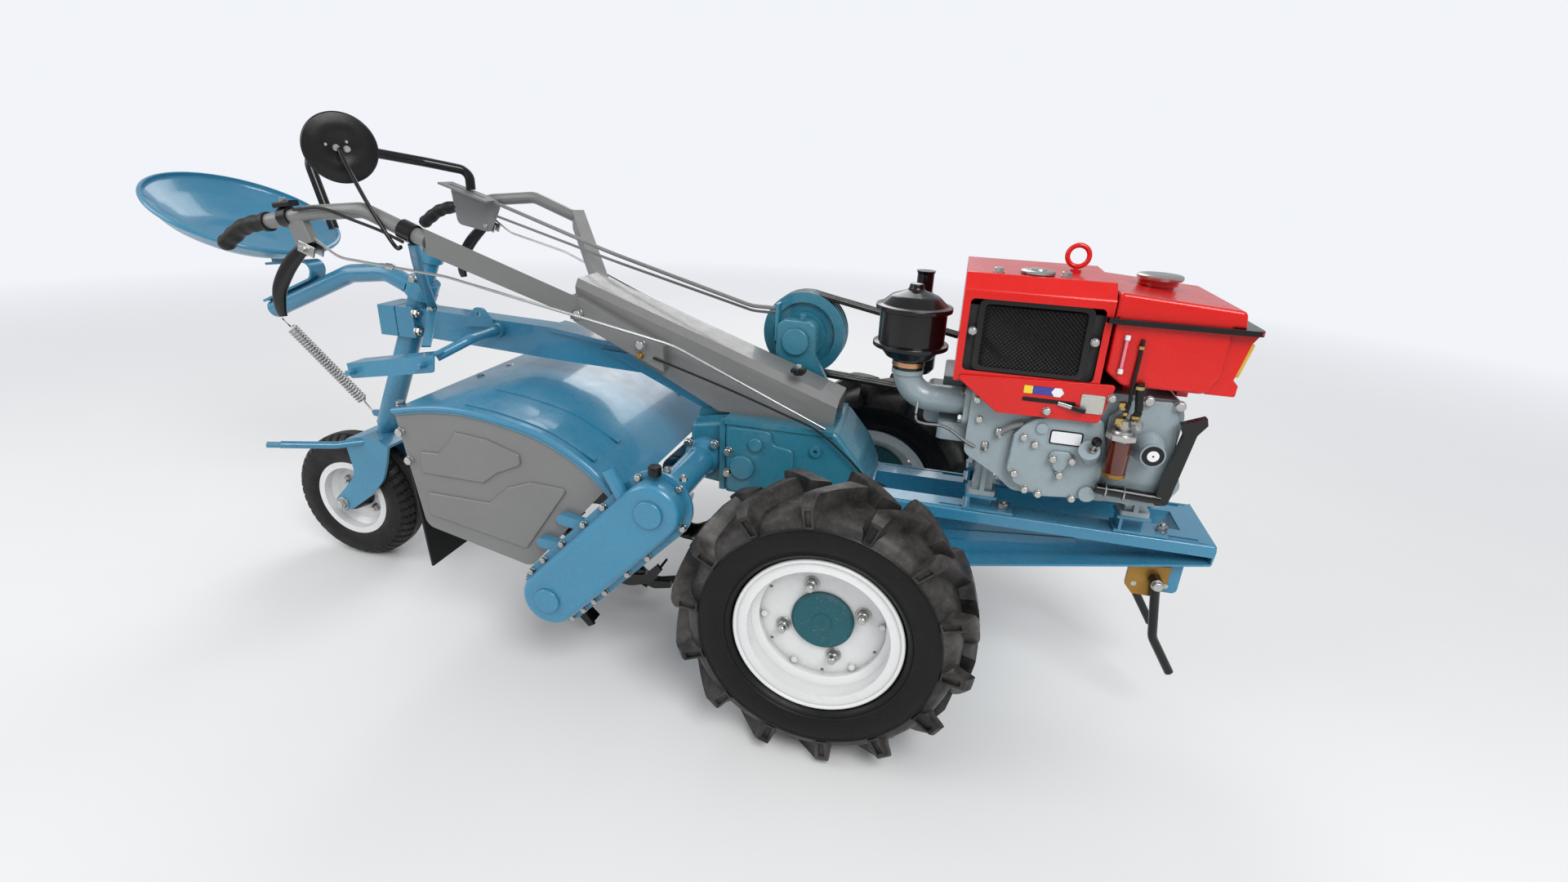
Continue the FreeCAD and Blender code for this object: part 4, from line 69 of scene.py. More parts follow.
class Graph:
    """A material's node tree with short calls to add and join nodes."""

    def __init__(self, name: str) -> None:
        """Starts an empty tree with an output."""
        self.material = bpy.data.materials.new(name)
        self.material.use_nodes = True
        self.tree = self.material.node_tree
        self.tree.nodes.clear()
        self.output = self.tree.nodes.new("ShaderNodeOutputMaterial")
        self.place = self.add("ShaderNodeTexCoord").outputs["Object"]

    def add(self, kind: str, **values: object) -> bpy.types.Node:
        """A new node with its properties set."""
        node = self.tree.nodes.new(kind)
        for key, value in values.items():
            setattr(node, key, value)
        return node

    def join(self, source: bpy.types.NodeSocket, target: bpy.types.NodeSocket) -> None:
        """A link between two sockets."""
        self.tree.links.new(source, target)

    def noise(self, scale: float, detail: float = 3.0, roughness: float = 0.5) -> bpy.types.NodeSocket:
        """Fractal noise over the object.

        Args:
            scale: Cells per metre.
            detail: Octaves.
            roughness: Weight of the finer octaves.

        Returns:
            The noise's factor.
        """
        node = self.add("ShaderNodeTexNoise")
        node.inputs["Scale"].default_value = scale
        node.inputs["Detail"].default_value = detail
        node.inputs["Roughness"].default_value = roughness
        self.join(self.place, node.inputs["Vector"])
        return node.outputs["Fac"]

    def ranged(self, value: bpy.types.NodeSocket, low: float, high: float, start: float = 0.0,
               end: float = 1.0) -> bpy.types.NodeSocket:
        """A value carried from low..high to start..end and held there."""
        node = self.add("ShaderNodeMapRange", clamp=True)
        for key, number in (("From Min", low), ("From Max", high), ("To Min", start), ("To Max", end)):
            node.inputs[key].default_value = number
        self.join(value, node.inputs["Value"])
        return node.outputs["Result"]

    def sums(self, operation: str, first: bpy.types.NodeSocket | float,
             second: bpy.types.NodeSocket | float) -> bpy.types.NodeSocket:
        """An arithmetic node on two sockets or numbers."""
        node = self.add("ShaderNodeMath", operation=operation)
        for socket, value in zip(node.inputs, (first, second)):
            if isinstance(value, (int, float)):
                socket.default_value = value
            else:
                self.join(value, socket)
        return node.outputs[0]

    def mixed(self, share: bpy.types.NodeSocket, first: object, second: object) -> bpy.types.NodeSocket:
        """A colour between two colours or sockets."""
        node = self.add("ShaderNodeMix", data_type="RGBA")
        self.join(share, node.inputs["Factor"])
        for key, value in (("A", first), ("B", second)):
            socket = next(s for s in node.inputs if s.name == key and s.type == "RGBA")
            if isinstance(value, tuple):
                socket.default_value = (*value, 1.0)
            else:
                self.join(value, socket)
        return next(s for s in node.outputs if s.type == "RGBA")

    def upward(self) -> bpy.types.NodeSocket:
        """How far a face looks up, 0 to 1."""
        axes = self.add("ShaderNodeSeparateXYZ")
        self.join(self.add("ShaderNodeNewGeometry").outputs["Normal"], axes.inputs[0])
        return self.ranged(axes.outputs["Z"], 0.2, 1.0)

    def corners(self, reach: float) -> bpy.types.NodeSocket:
        """How deep a point lies in a corner within a reach in metres, 0 to 1, by ambient occlusion: the mask for
        painted shade.
        """
        node = self.add("ShaderNodeAmbientOcclusion", samples=4)
        node.inputs["Distance"].default_value = reach
        return self.ranged(node.outputs["AO"], 0.35, 0.9, 1.0, 0.0)

    def edges(self, radius: float) -> bpy.types.NodeSocket:
        """How near an edge a point lies: the angle between its normal and the one rounded over a radius."""
        rounded = self.add("ShaderNodeBevel", samples=4)
        rounded.inputs["Radius"].default_value = radius
        turn = self.add("ShaderNodeVectorMath", operation="DOT_PRODUCT")
        self.join(rounded.outputs["Normal"], turn.inputs[0])
        self.join(self.add("ShaderNodeNewGeometry").outputs["Normal"], turn.inputs[1])
        return self.ranged(turn.outputs["Value"], 0.99, 0.8)

    def from_axle(self, x: float, z: float) -> bpy.types.NodeSocket:
        """Distance from an axle along Y: the root of the squares of the other two offsets."""
        mapping = self.add("ShaderNodeMapping")
        mapping.inputs["Location"].default_value = (-x, 0.0, -z)
        mapping.inputs["Scale"].default_value = (1.0, 0.0, 1.0)
        self.join(self.place, mapping.inputs["Vector"])
        length = self.add("ShaderNodeVectorMath", operation="LENGTH")
        self.join(mapping.outputs["Vector"], length.inputs[0])
        return length.outputs["Value"]

    def bumped(self, height: bpy.types.NodeSocket, depth: float,
               normal: bpy.types.NodeSocket | None = None) -> bpy.types.NodeSocket:
        """A bump of a depth in metres."""
        node = self.add("ShaderNodeBump")
        node.inputs["Strength"].default_value = 1.0
        node.inputs["Distance"].default_value = depth
        self.join(height, node.inputs["Height"])
        if normal is not None:
            self.join(normal, node.inputs["Normal"])
        return node.outputs["Normal"]


@dataclass(frozen=True)
class Finish:
    """The finish of one material slot."""

    name: str
    slot: str
    colour: Colour
    texture: Texture
    roughness: float = 0.35
    metallic: float = 0.0
    coat: float = 0.0
    dust: float = 0.1
    dust_colour: Colour = (0.42, 0.38, 0.33)
    painted_corner_shade: float = 0.4
    edge_wear_and_highlight: float = 0.0
    shade: float = 0.82
    specular: float = 0.5

    def relief(self, graph: Graph) -> bpy.types.NodeSocket:
        """The bump that the way of making leaves.

        Args:
            graph: The material's tree.

        Returns:
            A normal socket.
        """
        if self.texture is Texture.CAST:
            coarse = graph.bumped(graph.noise(55.0, 4.0, 0.6), 0.0012)
            return graph.bumped(graph.noise(420.0, 3.0, 0.6), 0.0003, coarse)
        if self.texture is Texture.MOULDED:
            return graph.bumped(graph.noise(700.0, 2.0, 0.5), 0.00015)
        if self.texture is Texture.PLATED:
            return graph.bumped(graph.noise(260.0, 3.0, 0.6), 0.00008)
        if self.texture is Texture.SMOOTH:
            return graph.bumped(graph.noise(30.0, 2.0, 0.5), 0.00002)
        waves = graph.bumped(graph.noise(14.0, 2.0, 0.5), 0.0006)
        return graph.bumped(graph.noise(480.0, 2.0, 0.5), 0.00005, waves)

    def tone(self, graph: Graph) -> bpy.types.NodeSocket:
        """The colour before dust: two tones by noise, painted shade darker in corners, and edges paler by wear and by
        a painted highlight.
        """
        darker = tuple(c * self.shade for c in self.colour)
        tone = graph.mixed(graph.noise(6.0, 4.0, 0.6), darker, self.colour)
        # Painted shade: the colour darkens towards a quarter of itself in corners found by ambient occlusion.
        painted_corner_shade = graph.sums("MULTIPLY", graph.corners(0.02), self.painted_corner_shade)
        tone = graph.mixed(painted_corner_shade, tone, tuple(c * 0.25 for c in self.colour))
        if self.edge_wear_and_highlight > 0.0:
            # Paler edges: partly paint worn through, partly a painted highlight where edges catch light.
            broken = graph.ranged(graph.noise(60.0, 4.0, 0.6), 0.4, 0.6)
            worn = graph.sums("MULTIPLY", graph.sums("MULTIPLY", graph.edges(0.0015), broken), self.edge_wear_and_highlight)
            tone = graph.mixed(worn, tone, tuple(min(1.0, c * 0.8 + 0.25) for c in self.colour))
        return tone

    def material(self) -> bpy.types.Material:
        """The node material of this finish."""
        graph = Graph(self.name)
        shader = graph.add("ShaderNodeBsdfPrincipled")
        settled = graph.sums("MULTIPLY", graph.upward(), graph.ranged(graph.noise(18.0, 5.0, 0.65), 0.35, 0.8))
        specks = graph.ranged(graph.noise(150.0, 2.0, 0.6), 0.6, 0.78)
        dust = graph.sums("MULTIPLY", graph.sums("MAXIMUM", settled, specks), self.dust)
        graph.join(graph.mixed(dust, self.tone(graph), self.dust_colour), shader.inputs["Base Color"])
        worn = graph.ranged(graph.noise(30.0, 5.0, 0.6), 0.3, 0.75, self.roughness * 0.75,
                            min(1.0, self.roughness * 1.35))
        graph.join(graph.sums("ADD", worn, graph.sums("MULTIPLY", dust, 0.6)), shader.inputs["Roughness"])
        shader.inputs["Metallic"].default_value = self.metallic
        shader.inputs["Coat Weight"].default_value = self.coat
        shader.inputs["Coat Roughness"].default_value = 0.08
        shader.inputs["Specular IOR Level"].default_value = self.specular
        graph.join(self.relief(graph), shader.inputs["Normal"])
        graph.join(shader.outputs[0], graph.output.inputs["Surface"])
        return graph.material


@dataclass(frozen=True)
class TyreRubber(Finish):
    """Black rubber, dusty on the tread beyond a radius from the axle."""

    axle: tuple[float, float] = (AXLE_X, 0.317)
    wall_r: float = 0.248
    scuff: Colour = (0.1, 0.092, 0.085)

    def tone(self, graph: Graph) -> bpy.types.NodeSocket:
        """Black on the side wall; grey scuffs in patches where the tread touches soil, kept out of the hollows as
        painted shade.
        """
        tread = graph.ranged(graph.from_axle(*self.axle), self.wall_r, self.wall_r + 0.004)
        patches = graph.ranged(graph.noise(9.0, 5.0, 0.7), 0.36, 0.7)
        fine = graph.ranged(graph.noise(90.0, 4.0, 0.7), 0.25, 0.75, 0.45, 1.0)
        share = graph.sums("MULTIPLY", graph.sums("MULTIPLY", tread, patches), fine)
        # Painted shade: scuffs fade to about a third in hollows that ambient occlusion finds.
        scuff_with_painted_shade = graph.sums("MULTIPLY", share, graph.ranged(graph.corners(0.03), 0.0, 1.0, 1.0, 0.35))
        return graph.mixed(scuff_with_painted_shade, self.colour, self.scuff)


FINISHES = (
    Finish("blue_enamel", "blue_paint", (0.035, 0.235, 0.39), Texture.SPRAYED, 0.28, coat=0.5, dust=0.12, edge_wear_and_highlight=0.4),
    Finish("teal_enamel", "teal_casting", (0.028, 0.2, 0.29), Texture.CAST, 0.3, coat=0.4, dust=0.12, edge_wear_and_highlight=0.35),
    Finish("red_enamel", "red_paint", (0.68, 0.006, 0.003), Texture.SPRAYED, 0.25, coat=0.35, dust=0.02, specular=0.3),
    Finish("grey_enamel", "grey_paint", (0.19, 0.19, 0.185), Texture.SPRAYED, 0.38, coat=0.25, dust=0.12, edge_wear_and_highlight=0.3),
    Finish("engine_enamel", "engine_grey", (0.3, 0.375, 0.4), Texture.CAST, 0.3, coat=0.35, dust=0.08, edge_wear_and_highlight=0.3),
    Finish("white_enamel", "white_paint", (0.8, 0.81, 0.8), Texture.SPRAYED, 0.3, coat=0.4, dust=0.14, painted_corner_shade=0.55),
    Finish("black_enamel", "black_paint", (0.003, 0.003, 0.0035), Texture.SPRAYED, 0.2, coat=0.3, dust=0.015, specular=0.3),
    Finish("black_moulding", "black_plastic", (0.004, 0.004, 0.0045), Texture.MOULDED, 0.3, dust=0.02, specular=0.35),
    Finish("black_rubber", "black_rubber", (0.006, 0.006, 0.006), Texture.MOULDED, 0.5, dust=0.05, specular=0.35),
    TyreRubber("drive_tyre", "tyre", (0.003, 0.003, 0.003), Texture.MOULDED, 0.4, dust=0.02, specular=0.25),
    TyreRubber("tail_tyre_rubber", "tyre", (0.007, 0.0065, 0.006), Texture.MOULDED, 0.5, dust=0.08, specular=0.3,
               axle=(AXLE_X - 1.498, 0.196), wall_r=0.176, scuff=(0.03, 0.028, 0.026)),
    Finish("zinc_plate", "bare_steel", (0.56, 0.56, 0.54), Texture.PLATED, 0.3, metallic=1.0, dust=0.08, painted_corner_shade=0.6),
    Finish("radiator_core", "core_alloy", (0.012, 0.012, 0.012), Texture.CAST, 0.6, dust=0.05),
    Finish("hub_enamel", "teal_casting", (0.016, 0.105, 0.13), Texture.SPRAYED, 0.55, dust=0.2, specular=0.3),
    Finish("lamp_lens", "amber_lens", (0.72, 0.5, 0.02), Texture.MOULDED, 0.15, coat=1.0, dust=0.02),
    Finish("brass_fitting", "brass", (0.62, 0.44, 0.17), Texture.PLATED, 0.28, metallic=1.0, dust=0.06),
    Finish("yellow_zinc", "brass", (0.5, 0.27, 0.06), Texture.PLATED, 0.38, metallic=0.8, dust=0.12, shade=0.45),
    Finish("copper_band", "brass", (0.68, 0.37, 0.2), Texture.PLATED, 0.3, metallic=1.0, dust=0.05),
    Finish("fuel_bowl", "amber_lens", (0.1, 0.014, 0.005), Texture.SMOOTH, 0.06, coat=0.6, dust=0.0, painted_corner_shade=0.1),
    Finish("gauge_tube", "white_paint", (0.78, 0.2, 0.26), Texture.SMOOTH, 0.12, coat=1.0, dust=0.02),
    Finish("sign_yellow", "amber_lens", (0.85, 0.62, 0.03), Texture.SMOOTH, 0.25, coat=0.5, dust=0.03),
    Finish("sign_blue", "blue_paint", (0.02, 0.03, 0.3), Texture.SMOOTH, 0.25, coat=0.5, dust=0.03),
    Finish("sign_white", "white_paint", (0.82, 0.83, 0.84), Texture.SMOOTH, 0.25, coat=0.5, dust=0.03),
    Finish("type_plate", "bare_steel", (0.62, 0.6, 0.55), Texture.PLATED, 0.45, metallic=0.7, dust=0.1),
    Finish("mirror_glass", "bare_steel", (0.85, 0.87, 0.88), Texture.SMOOTH, 0.03, metallic=1.0, dust=0.02),
)
# Nodes whose finish isn't the first one of their slot
NODE_FINISH = {"crank_handle": "black_enamel", "lifting_eye": "red_enamel", "fuel_filter": "zinc_plate",
               "hub_left": "hub_enamel", "hub_right": "hub_enamel"}


class Finishes:
    """The finishes by name, each built once."""

    def __init__(self) -> None:
        """Builds every finish."""
        self.by_name = {finish.name: finish.material() for finish in FINISHES}
        self.slot_of = {finish.name: finish.slot for finish in FINISHES}
        self.of_slot = {finish.slot: finish.name for finish in reversed(FINISHES)}

    def dress_nodes(self) -> None:
        """Gives each carried-over node the finish of its slot, or its own."""
        slots = {part["node"]: part["material_slot"] for part in frame["record"]["subparts"]}
        for name, node in frame["nodes"].items():
            finish = NODE_FINISH.get(name, self.of_slot[slots[name]])
            node.data.materials.clear()
            node.data.materials.append(self.by_name[finish])
            log.info("node %s takes %s", name, finish)


def unit(vectors: Array) -> Array:
    """Vectors divided by their lengths."""
    return vectors / np.linalg.norm(vectors, axis=-1, keepdims=True)


@dataclass
class Skin:
    """A surface: points in millimetres from the drive axle, and its faces."""

    points: Array
    faces: Array


def sheeted(points: Array, ring: bool = True, loop: bool = False) -> Skin:
    """Quads over grids of points.

    Args:
        points: Any number of grids of rows by columns by 3.
        ring: Whether the last column joins the first.
        loop: Whether the last row joins the first.

    Returns:
        The surface of all the grids.
    """
    rows, columns = points.shape[-3:-1]
    row = np.arange(rows if loop else rows - 1)[:, None]
    column = np.arange(columns if ring else columns - 1)[None, :]
    corners = ((row, column), (row + 1, column), (row + 1, column + 1), (row, column + 1))
    quads = np.stack([(r % rows) * columns + c % columns for r, c in corners], axis=-1).reshape(-1, 4)
    starts = np.arange(math.prod(points.shape[:-3]))[:, None, None] * rows * columns
    return Skin(points.reshape(-1, 3), (quads[None] + starts).reshape(-1, 4))


def joined(*skins: Skin) -> Skin:
    """Several surfaces as one."""
    starts = np.cumsum([0] + [len(skin.points) for skin in skins[:-1]])
    return Skin(np.concatenate([skin.points for skin in skins]),
                np.concatenate([skin.faces + start for skin, start in zip(skins, starts)]))


def turned(profile: Array, sides: int, spin: float = 0.0) -> Array:
    """A profile of (height, radius) turned about Z: x = r cos a, y = r sin a, z = height."""
    height, radius = np.asarray(profile, dtype=float).T[:, :, None]
    angle = spin + np.arange(sides) * 2.0 * np.pi / sides
    return np.stack([radius * np.cos(angle), radius * np.sin(angle), height + 0.0 * angle], axis=-1)


def placed(points: Array, origins: Array, axis: Array) -> Array:
    """A grid copied to each origin, its Z turned to the axis: origin + x across + y beside + z axis.

    Args:
        points: The grid about its own origin.
        origins: One place per copy.
        axis: One direction for all, or one per copy.

    Returns:
        One grid per copy.
    """
    origins = np.atleast_2d(np.asarray(origins, dtype=float))
    ahead = unit(np.broadcast_to(np.asarray(axis, dtype=float), origins.shape))
    guide = np.where(np.abs(ahead[:, 2:]) > 0.9, (1.0, 0.0, 0.0), (0.0, 0.0, 1.0))
    across = unit(np.cross(guide, ahead))
    turn = np.stack([across, np.cross(ahead, across), ahead], axis=1)
    return np.einsum("rcj,kjn->krcn", points, turn) + origins[:, None, None]


def curve(points: Array, steps: int = 8) -> Array:
    """A Catmull-Rom curve: between two points the cubic whose slope at each is half the way past it."""
    given = np.asarray(points, dtype=float)
    ends = np.concatenate([2 * given[:1] - given[1:2], given, 2 * given[-1:] - given[-2:-1]])
    t = np.linspace(0.0, 1.0, steps, endpoint=False)[None, :, None]
    a, b, c, d = (ends[i:len(ends) - 3 + i, None] for i in range(4))
    bent = 0.5 * (2 * b + (c - a) * t + (2 * a - 5 * b + 4 * c - d) * t**2 + (3 * b - a - 3 * c + d) * t**3)
    return np.concatenate([bent.reshape(-1, 3), given[-1:]])


def carried(path: Array, section: Array, guide: Point = (0.0, 0.0, 1.0), grow: Array | float = 1.0) -> Skin:
    """A closed section carried along a path, its ends closed to the path's ends.

    Args:
        path: Points of the path.
        section: Outline of (side, rise) about the path.
        guide: The direction that rise keeps to.
        grow: The section's scale at each point of the path.

    Returns:
        The surface: path + grow (side u + rise v), with u and v square to the path.
    """
    along = unit(np.gradient(path, axis=0))
    side = unit(np.cross(along, guide))
    rise = np.cross(side, along)
    scale = np.broadcast_to(grow, len(path))[:, None, None]
    body = path[:, None] + scale * (section[None, :, :1] * side[:, None] + section[None, :, 1:] * rise[:, None])
    ends = np.broadcast_to(path[[0, -1], None], (2, len(section), 3))
    return sheeted(np.concatenate([ends[:1], body, ends[1:]]))


def disc(radius: float, sides: int) -> Array:
    """A circle's outline: (r cos a, r sin a)."""
    return turned([(0.0, radius)], sides)[0, :, :2]


def oblong(width: float, height: float, power: float = 5.0, count: int = 32) -> Array:
    """A superellipse's outline: |2x / width|^power + |2y / height|^power = 1."""
    angle = np.arange(count) * 2.0 * np.pi / count
    ray = np.stack([np.cos(angle), np.sin(angle)], axis=1)
    return np.sign(ray) * np.abs(ray) ** (2.0 / power) * (width / 2.0, height / 2.0)


def tube(points: Array, radius: float, sides: int = 10, steps: int = 8, guide: Point = (0.0, 0.0, 1.0)) -> Skin:
    """A round bar along a curve through the points."""
    return carried(curve(points, steps), disc(radius, sides), guide)


def bar(start: Point, end: Point, section: Array, guide: Point = (0.0, 0.0, 1.0)) -> Skin:
    """A straight bar of a section from one point to another."""
    return carried(np.linspace(start, end, 3), section, guide)


def plate(outline: Array, thickness: float, bevel: float, origins: Array, axis: Point,
          sunk: float = 0.5) -> Skin:
    """A flat plate with a bevelled edge: the outline raised to its thickness and drawn in by the bevel.

    Args:
        outline: Points about the plate's middle, seen from every one of them.
        thickness: Height over the surface that it lies on.
        bevel: Width of the bevel.
        origins: Where the plates lie.
        axis: The way that they face.
        sunk: Depth of the back below that surface.

    Returns:
        The plates' surface.
    """
    size = np.linalg.norm(outline, axis=1, keepdims=True)
    drawn = outline * (1.0 - bevel / size)
    rows = [(outline * 0.0, -sunk), (outline, -sunk), (outline, thickness - bevel), (drawn, thickness),
            (outline * 0.0, thickness)]
    grid = np.stack([np.column_stack([flat, np.full(len(flat), height)]) for flat, height in rows])
    return sheeted(placed(grid, origins, axis))


def spun(profile: Array, sides: int, origins: Array, axis: Point) -> Skin:
    """A profile of (height, radius) turned about an axis at each origin."""
    return sheeted(placed(turned(profile, sides), origins, axis))


@dataclass(frozen=True)
class Fastener:
    """A hexagon head or nut with its washer and the thread's end, millimetres."""

    across: float = 17.0
    height: float = 9.0
    washer: float = 13.0
    sheet: float = 2.0
    stud: float = 0.0
    proud: float = 0.0

    def at(self, origins: Array, axis: Point) -> Skin:
        """The fasteners at their places.

        The head is a six-sided prism whose corners are cut by a cone: the radius goes between the corner and
        the flat every 30 degrees, and the corners are lower than the flats.

        Args:
            origins: Points on the surface that they are bolted to.
            axis: The way that they face.

        Returns:
            Their surface.
        """
        angle = np.arange(12) * np.pi / 6.0
        corner = np.arange(12) % 2 == 0
        side = np.where(corner, 0.577, 0.5) * self.across
        top = self.sheet + self.height
        radius = np.stack([0 * side, side, side, 0 * side + 0.46 * self.across, 0 * side])
        height = np.stack([0 * side - 0.5, 0 * side - 0.5, top - np.where(corner, 0.18, 0.05) * self.height,
                           0 * side + top, 0 * side + top - 0.4])
        head = np.stack([radius * np.cos(angle), radius * np.sin(angle), height], axis=-1)
        parts = [sheeted(placed(head, origins, axis))]
        if self.washer > 0.0:
            ring = [(-0.5, 0.0), (-0.5, self.washer), (self.sheet - 0.4, self.washer),
                    (self.sheet, self.washer - 0.4), (self.sheet, 0.0)]
            parts.append(spun(ring, 20, origins, axis))
        if self.stud > 0.0:
            end = top + self.proud
            parts.append(spun([(0.0, 0.0), (0.0, self.stud), (end - 1.0, self.stud), (end, self.stud - 1.0),
                               (end, 0.0)], 12, origins, axis))
        return joined(*parts)


M8 = Fastener(13.0, 7.0, 8.5, 1.6)
M10 = Fastener(17.0, 8.0, 11.0, 2.0)
M12 = Fastener(19.0, 9.0, 13.0, 2.5)
NUT_12 = Fastener(19.0, 10.0, 13.0, 2.5, 6.0, 5.0)


@dataclass
class Assembly:
    """A sub-assembly of small parts that share the tractor's finishes."""

    finishes: Finishes

    def piece(self, name: str, skin: Skin, finish: str, body: str = "chassis", replaces: tuple[str, ...] = (),
              crease: float = 35.0) -> None:
        """Makes an object of a surface.

        Args:
            name: The piece's name.
            skin: Its surface in millimetres from the axle.
            finish: Its finish's name.
            body: The moving body that it rides on.
            replaces: CAD nodes that it stands for.
            crease: Angle in degrees past which an edge stays sharp.
        """
        mesh = bpy.data.meshes.new(name)
        points = skin.points / 1000.0 + np.array((AXLE_X, 0.0, 0.0))
        mesh.from_pydata(points.tolist(), [], skin.faces.tolist())
        build = bmesh.new()
        build.from_mesh(mesh)
        bmesh.ops.remove_doubles(build, verts=build.verts, dist=1e-6)
        bmesh.ops.recalc_face_normals(build, faces=build.faces)
        build.to_mesh(mesh)
        build.free()
        mesh.shade_smooth()
        mesh.set_sharp_from_angle(angle=math.radians(crease))
        mesh.materials.append(self.finishes.by_name[finish])
        piece = bpy.data.objects.new(name, mesh)
        bpy.context.scene.collection.objects.link(piece)
        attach(piece, body)
        if replaces:
            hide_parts(*replaces)
        log.info("piece %s on %s, %d faces", name, body, len(mesh.polygons))


@dataclass
class DriveWheels(Assembly):
    """The two lugged tyres with the nuts and bolts of their wheels."""

    track_half: float = 375.0
    axle_z: float = 317.0
    lugs: int = 14
    sweep: float = 84.0
    lug_half: float = 17.0
    tip_r: float = 317.0
    wall: tuple[tuple[float, float], ...] = (
        (56, 170), (60, 178), (71, 182), (76, 187), (78, 190), (76.6, 192.5), (79.6, 196), (78.4, 199), (81, 206),
        (83, 215), (83.7, 226), (83.5, 236), (82, 243.5), (84.3, 246.5), (81, 250), (76, 262), (66, 273), (50, 281),
        (25, 286), (0, 287.5))
    stations: tuple[tuple[float, ...], ...] = (
        (0.0, 0.74, 84.5, 249, 69, 251), (0.0, 0.75, 85, 254, 68, 252), (0.0, 0.75, 85.2, 256, 68, 252),
        (0.0, 0.78, 86, 287, 63, 254), (0.0, 0.79, 86, 289, 63, 254), (0.0, 0.84, 85, 297, 61, 256),
        (0.03, 0.92, 75, 308, 54, 259), (0.06, 1.0, 64, 315, 48, 262), (0.25, 1.0, 49, 316.5, 39, 262),
        (0.45, 1.0, 34, 317, 30, 262), (0.75, 1.12, 12, 317, 10, 262), (1.0, 1.25, -9, 317, -9, 262))

    def around(self, y: Array, radius: Array, angle: Array) -> Array:
        """Points about the axle: x = r sin a, z = axle + r cos a."""
        y, radius, angle = np.broadcast_arrays(y, radius, angle)
        return np.stack([radius * np.sin(angle), y, self.axle_z + radius * np.cos(angle)], axis=-1)

    def carcass(self, centre: float) -> Skin:
        """The wall's profile and its mirror image, turned about the axle."""
        half = np.array(self.wall)
        y, radius = np.concatenate([half, half[-2::-1] * (-1.0, 1.0)]).T[:, :, None]
        angle = np.linspace(0.0, 2.0 * np.pi, 169)[:-1]
        return sheeted(self.around(centre + y, radius, angle), loop=True)

    def lug_ring(self, centre: float, face: float) -> Skin:
        """The lugs of one side.

        A lug is a section with hollow flared feet, carried over its stations from the tyre's shoulder to past
        its middle while it turns by the sweep. Both ends are closed. Where the stations cross the recess of the
        shoulder end, the section's middle lies lower by its depth.

        Args:
            centre: Y of the tyre's middle.
            face: 1 for the side at higher Y, -1 for the other.

        Returns:
            The surface of all of them.
        """
        share, width, top_y, top_r, base_y, base_r = np.array(self.stations).T[:, :, None]
        half = np.array([(-2.5, 0.05), (-1.7, 0.3), (-1.25, 0.52), (-1.03, 0.88), (-0.9, 1.0), (-0.54, 1.0),
                         (-0.5, 1.0)])
        turn, rise = np.concatenate([half, half[::-1] * (-1.0, 1.0)]).T
        recess = (np.arange(len(share))[:, None] == np.array([[2, 3]])).any(axis=1)[:, None] & (np.abs(turn) < 0.52)
        y = base_y + (top_y - base_y) * rise - 5.0 * recess
        radius = base_r + (top_r - base_r) * rise
        angle = (share * self.sweep + width * turn * self.lug_half) / self.tip_r
        start = np.pi + (2.0 * np.arange(self.lugs) + 0.5 * face) * np.pi / self.lugs
        rings = self.around(centre + face * y, radius, angle + start[:, None, None])
        ends = rings[:, [0, -1]].mean(axis=2, keepdims=True) + 0.0 * rings[:, [0, -1]]
        return sheeted(np.concatenate([ends[:, :1], rings, ends[:, 1:]], axis=1))

    def hub_places(self, y: float, radius: float, start: float, count: int) -> Array:
        """Places on a circle about the axle."""
        angle = np.radians(start) + np.arange(count) * 2.0 * np.pi / count
        return np.stack([radius * np.cos(angle), 0 * angle + y, self.axle_z + radius * np.sin(angle)], axis=-1)

    def build(self) -> None:
        """Tyres, stud nuts, disc bolts and the scribed hub caps of both wheels."""
        for side, face in (("right", -1.0), ("left", 1.0)):
            centre = face * self.track_half
            body, axis = f"wheel_{side}", (0.0, face, 0.0)
            rubber = joined(self.carcass(centre), self.lug_ring(centre, 1.0), self.lug_ring(centre, -1.0))
            self.piece(f"lugged_tyre_{side}", rubber, "drive_tyre", body, (f"tyre_{side}",), 30.0)
            studs = self.hub_places(face * 379.0, 87.5, 19.0, 4)
            nuts = Fastener(22.0, 12.0, 16.5, 3.0, 8.5, 12.0).at(studs, axis)
            self.piece(f"stud_nuts_{side}", nuts, "zinc_plate", body)
            bolts = Fastener(13.0, 6.0, 9.0, 1.5).at(self.hub_places(face * 379.0, 125.0, 4.0, 6), axis)
            self.piece(f"disc_bolts_{side}", bolts, "white_enamel", body)
            cap = spun([(-0.5, 0.0), (-0.5, 21.0), (0.9, 21.0), (1.2, 20.0), (0.2, 18.6), (0.2, 4.0), (1.0, 3.0),
                        (0.6, 0.0)], 40, [(0.0, face * 391.0, self.axle_z)], axis)
            self.piece(f"hub_mark_{side}", cap, "hub_enamel", body)


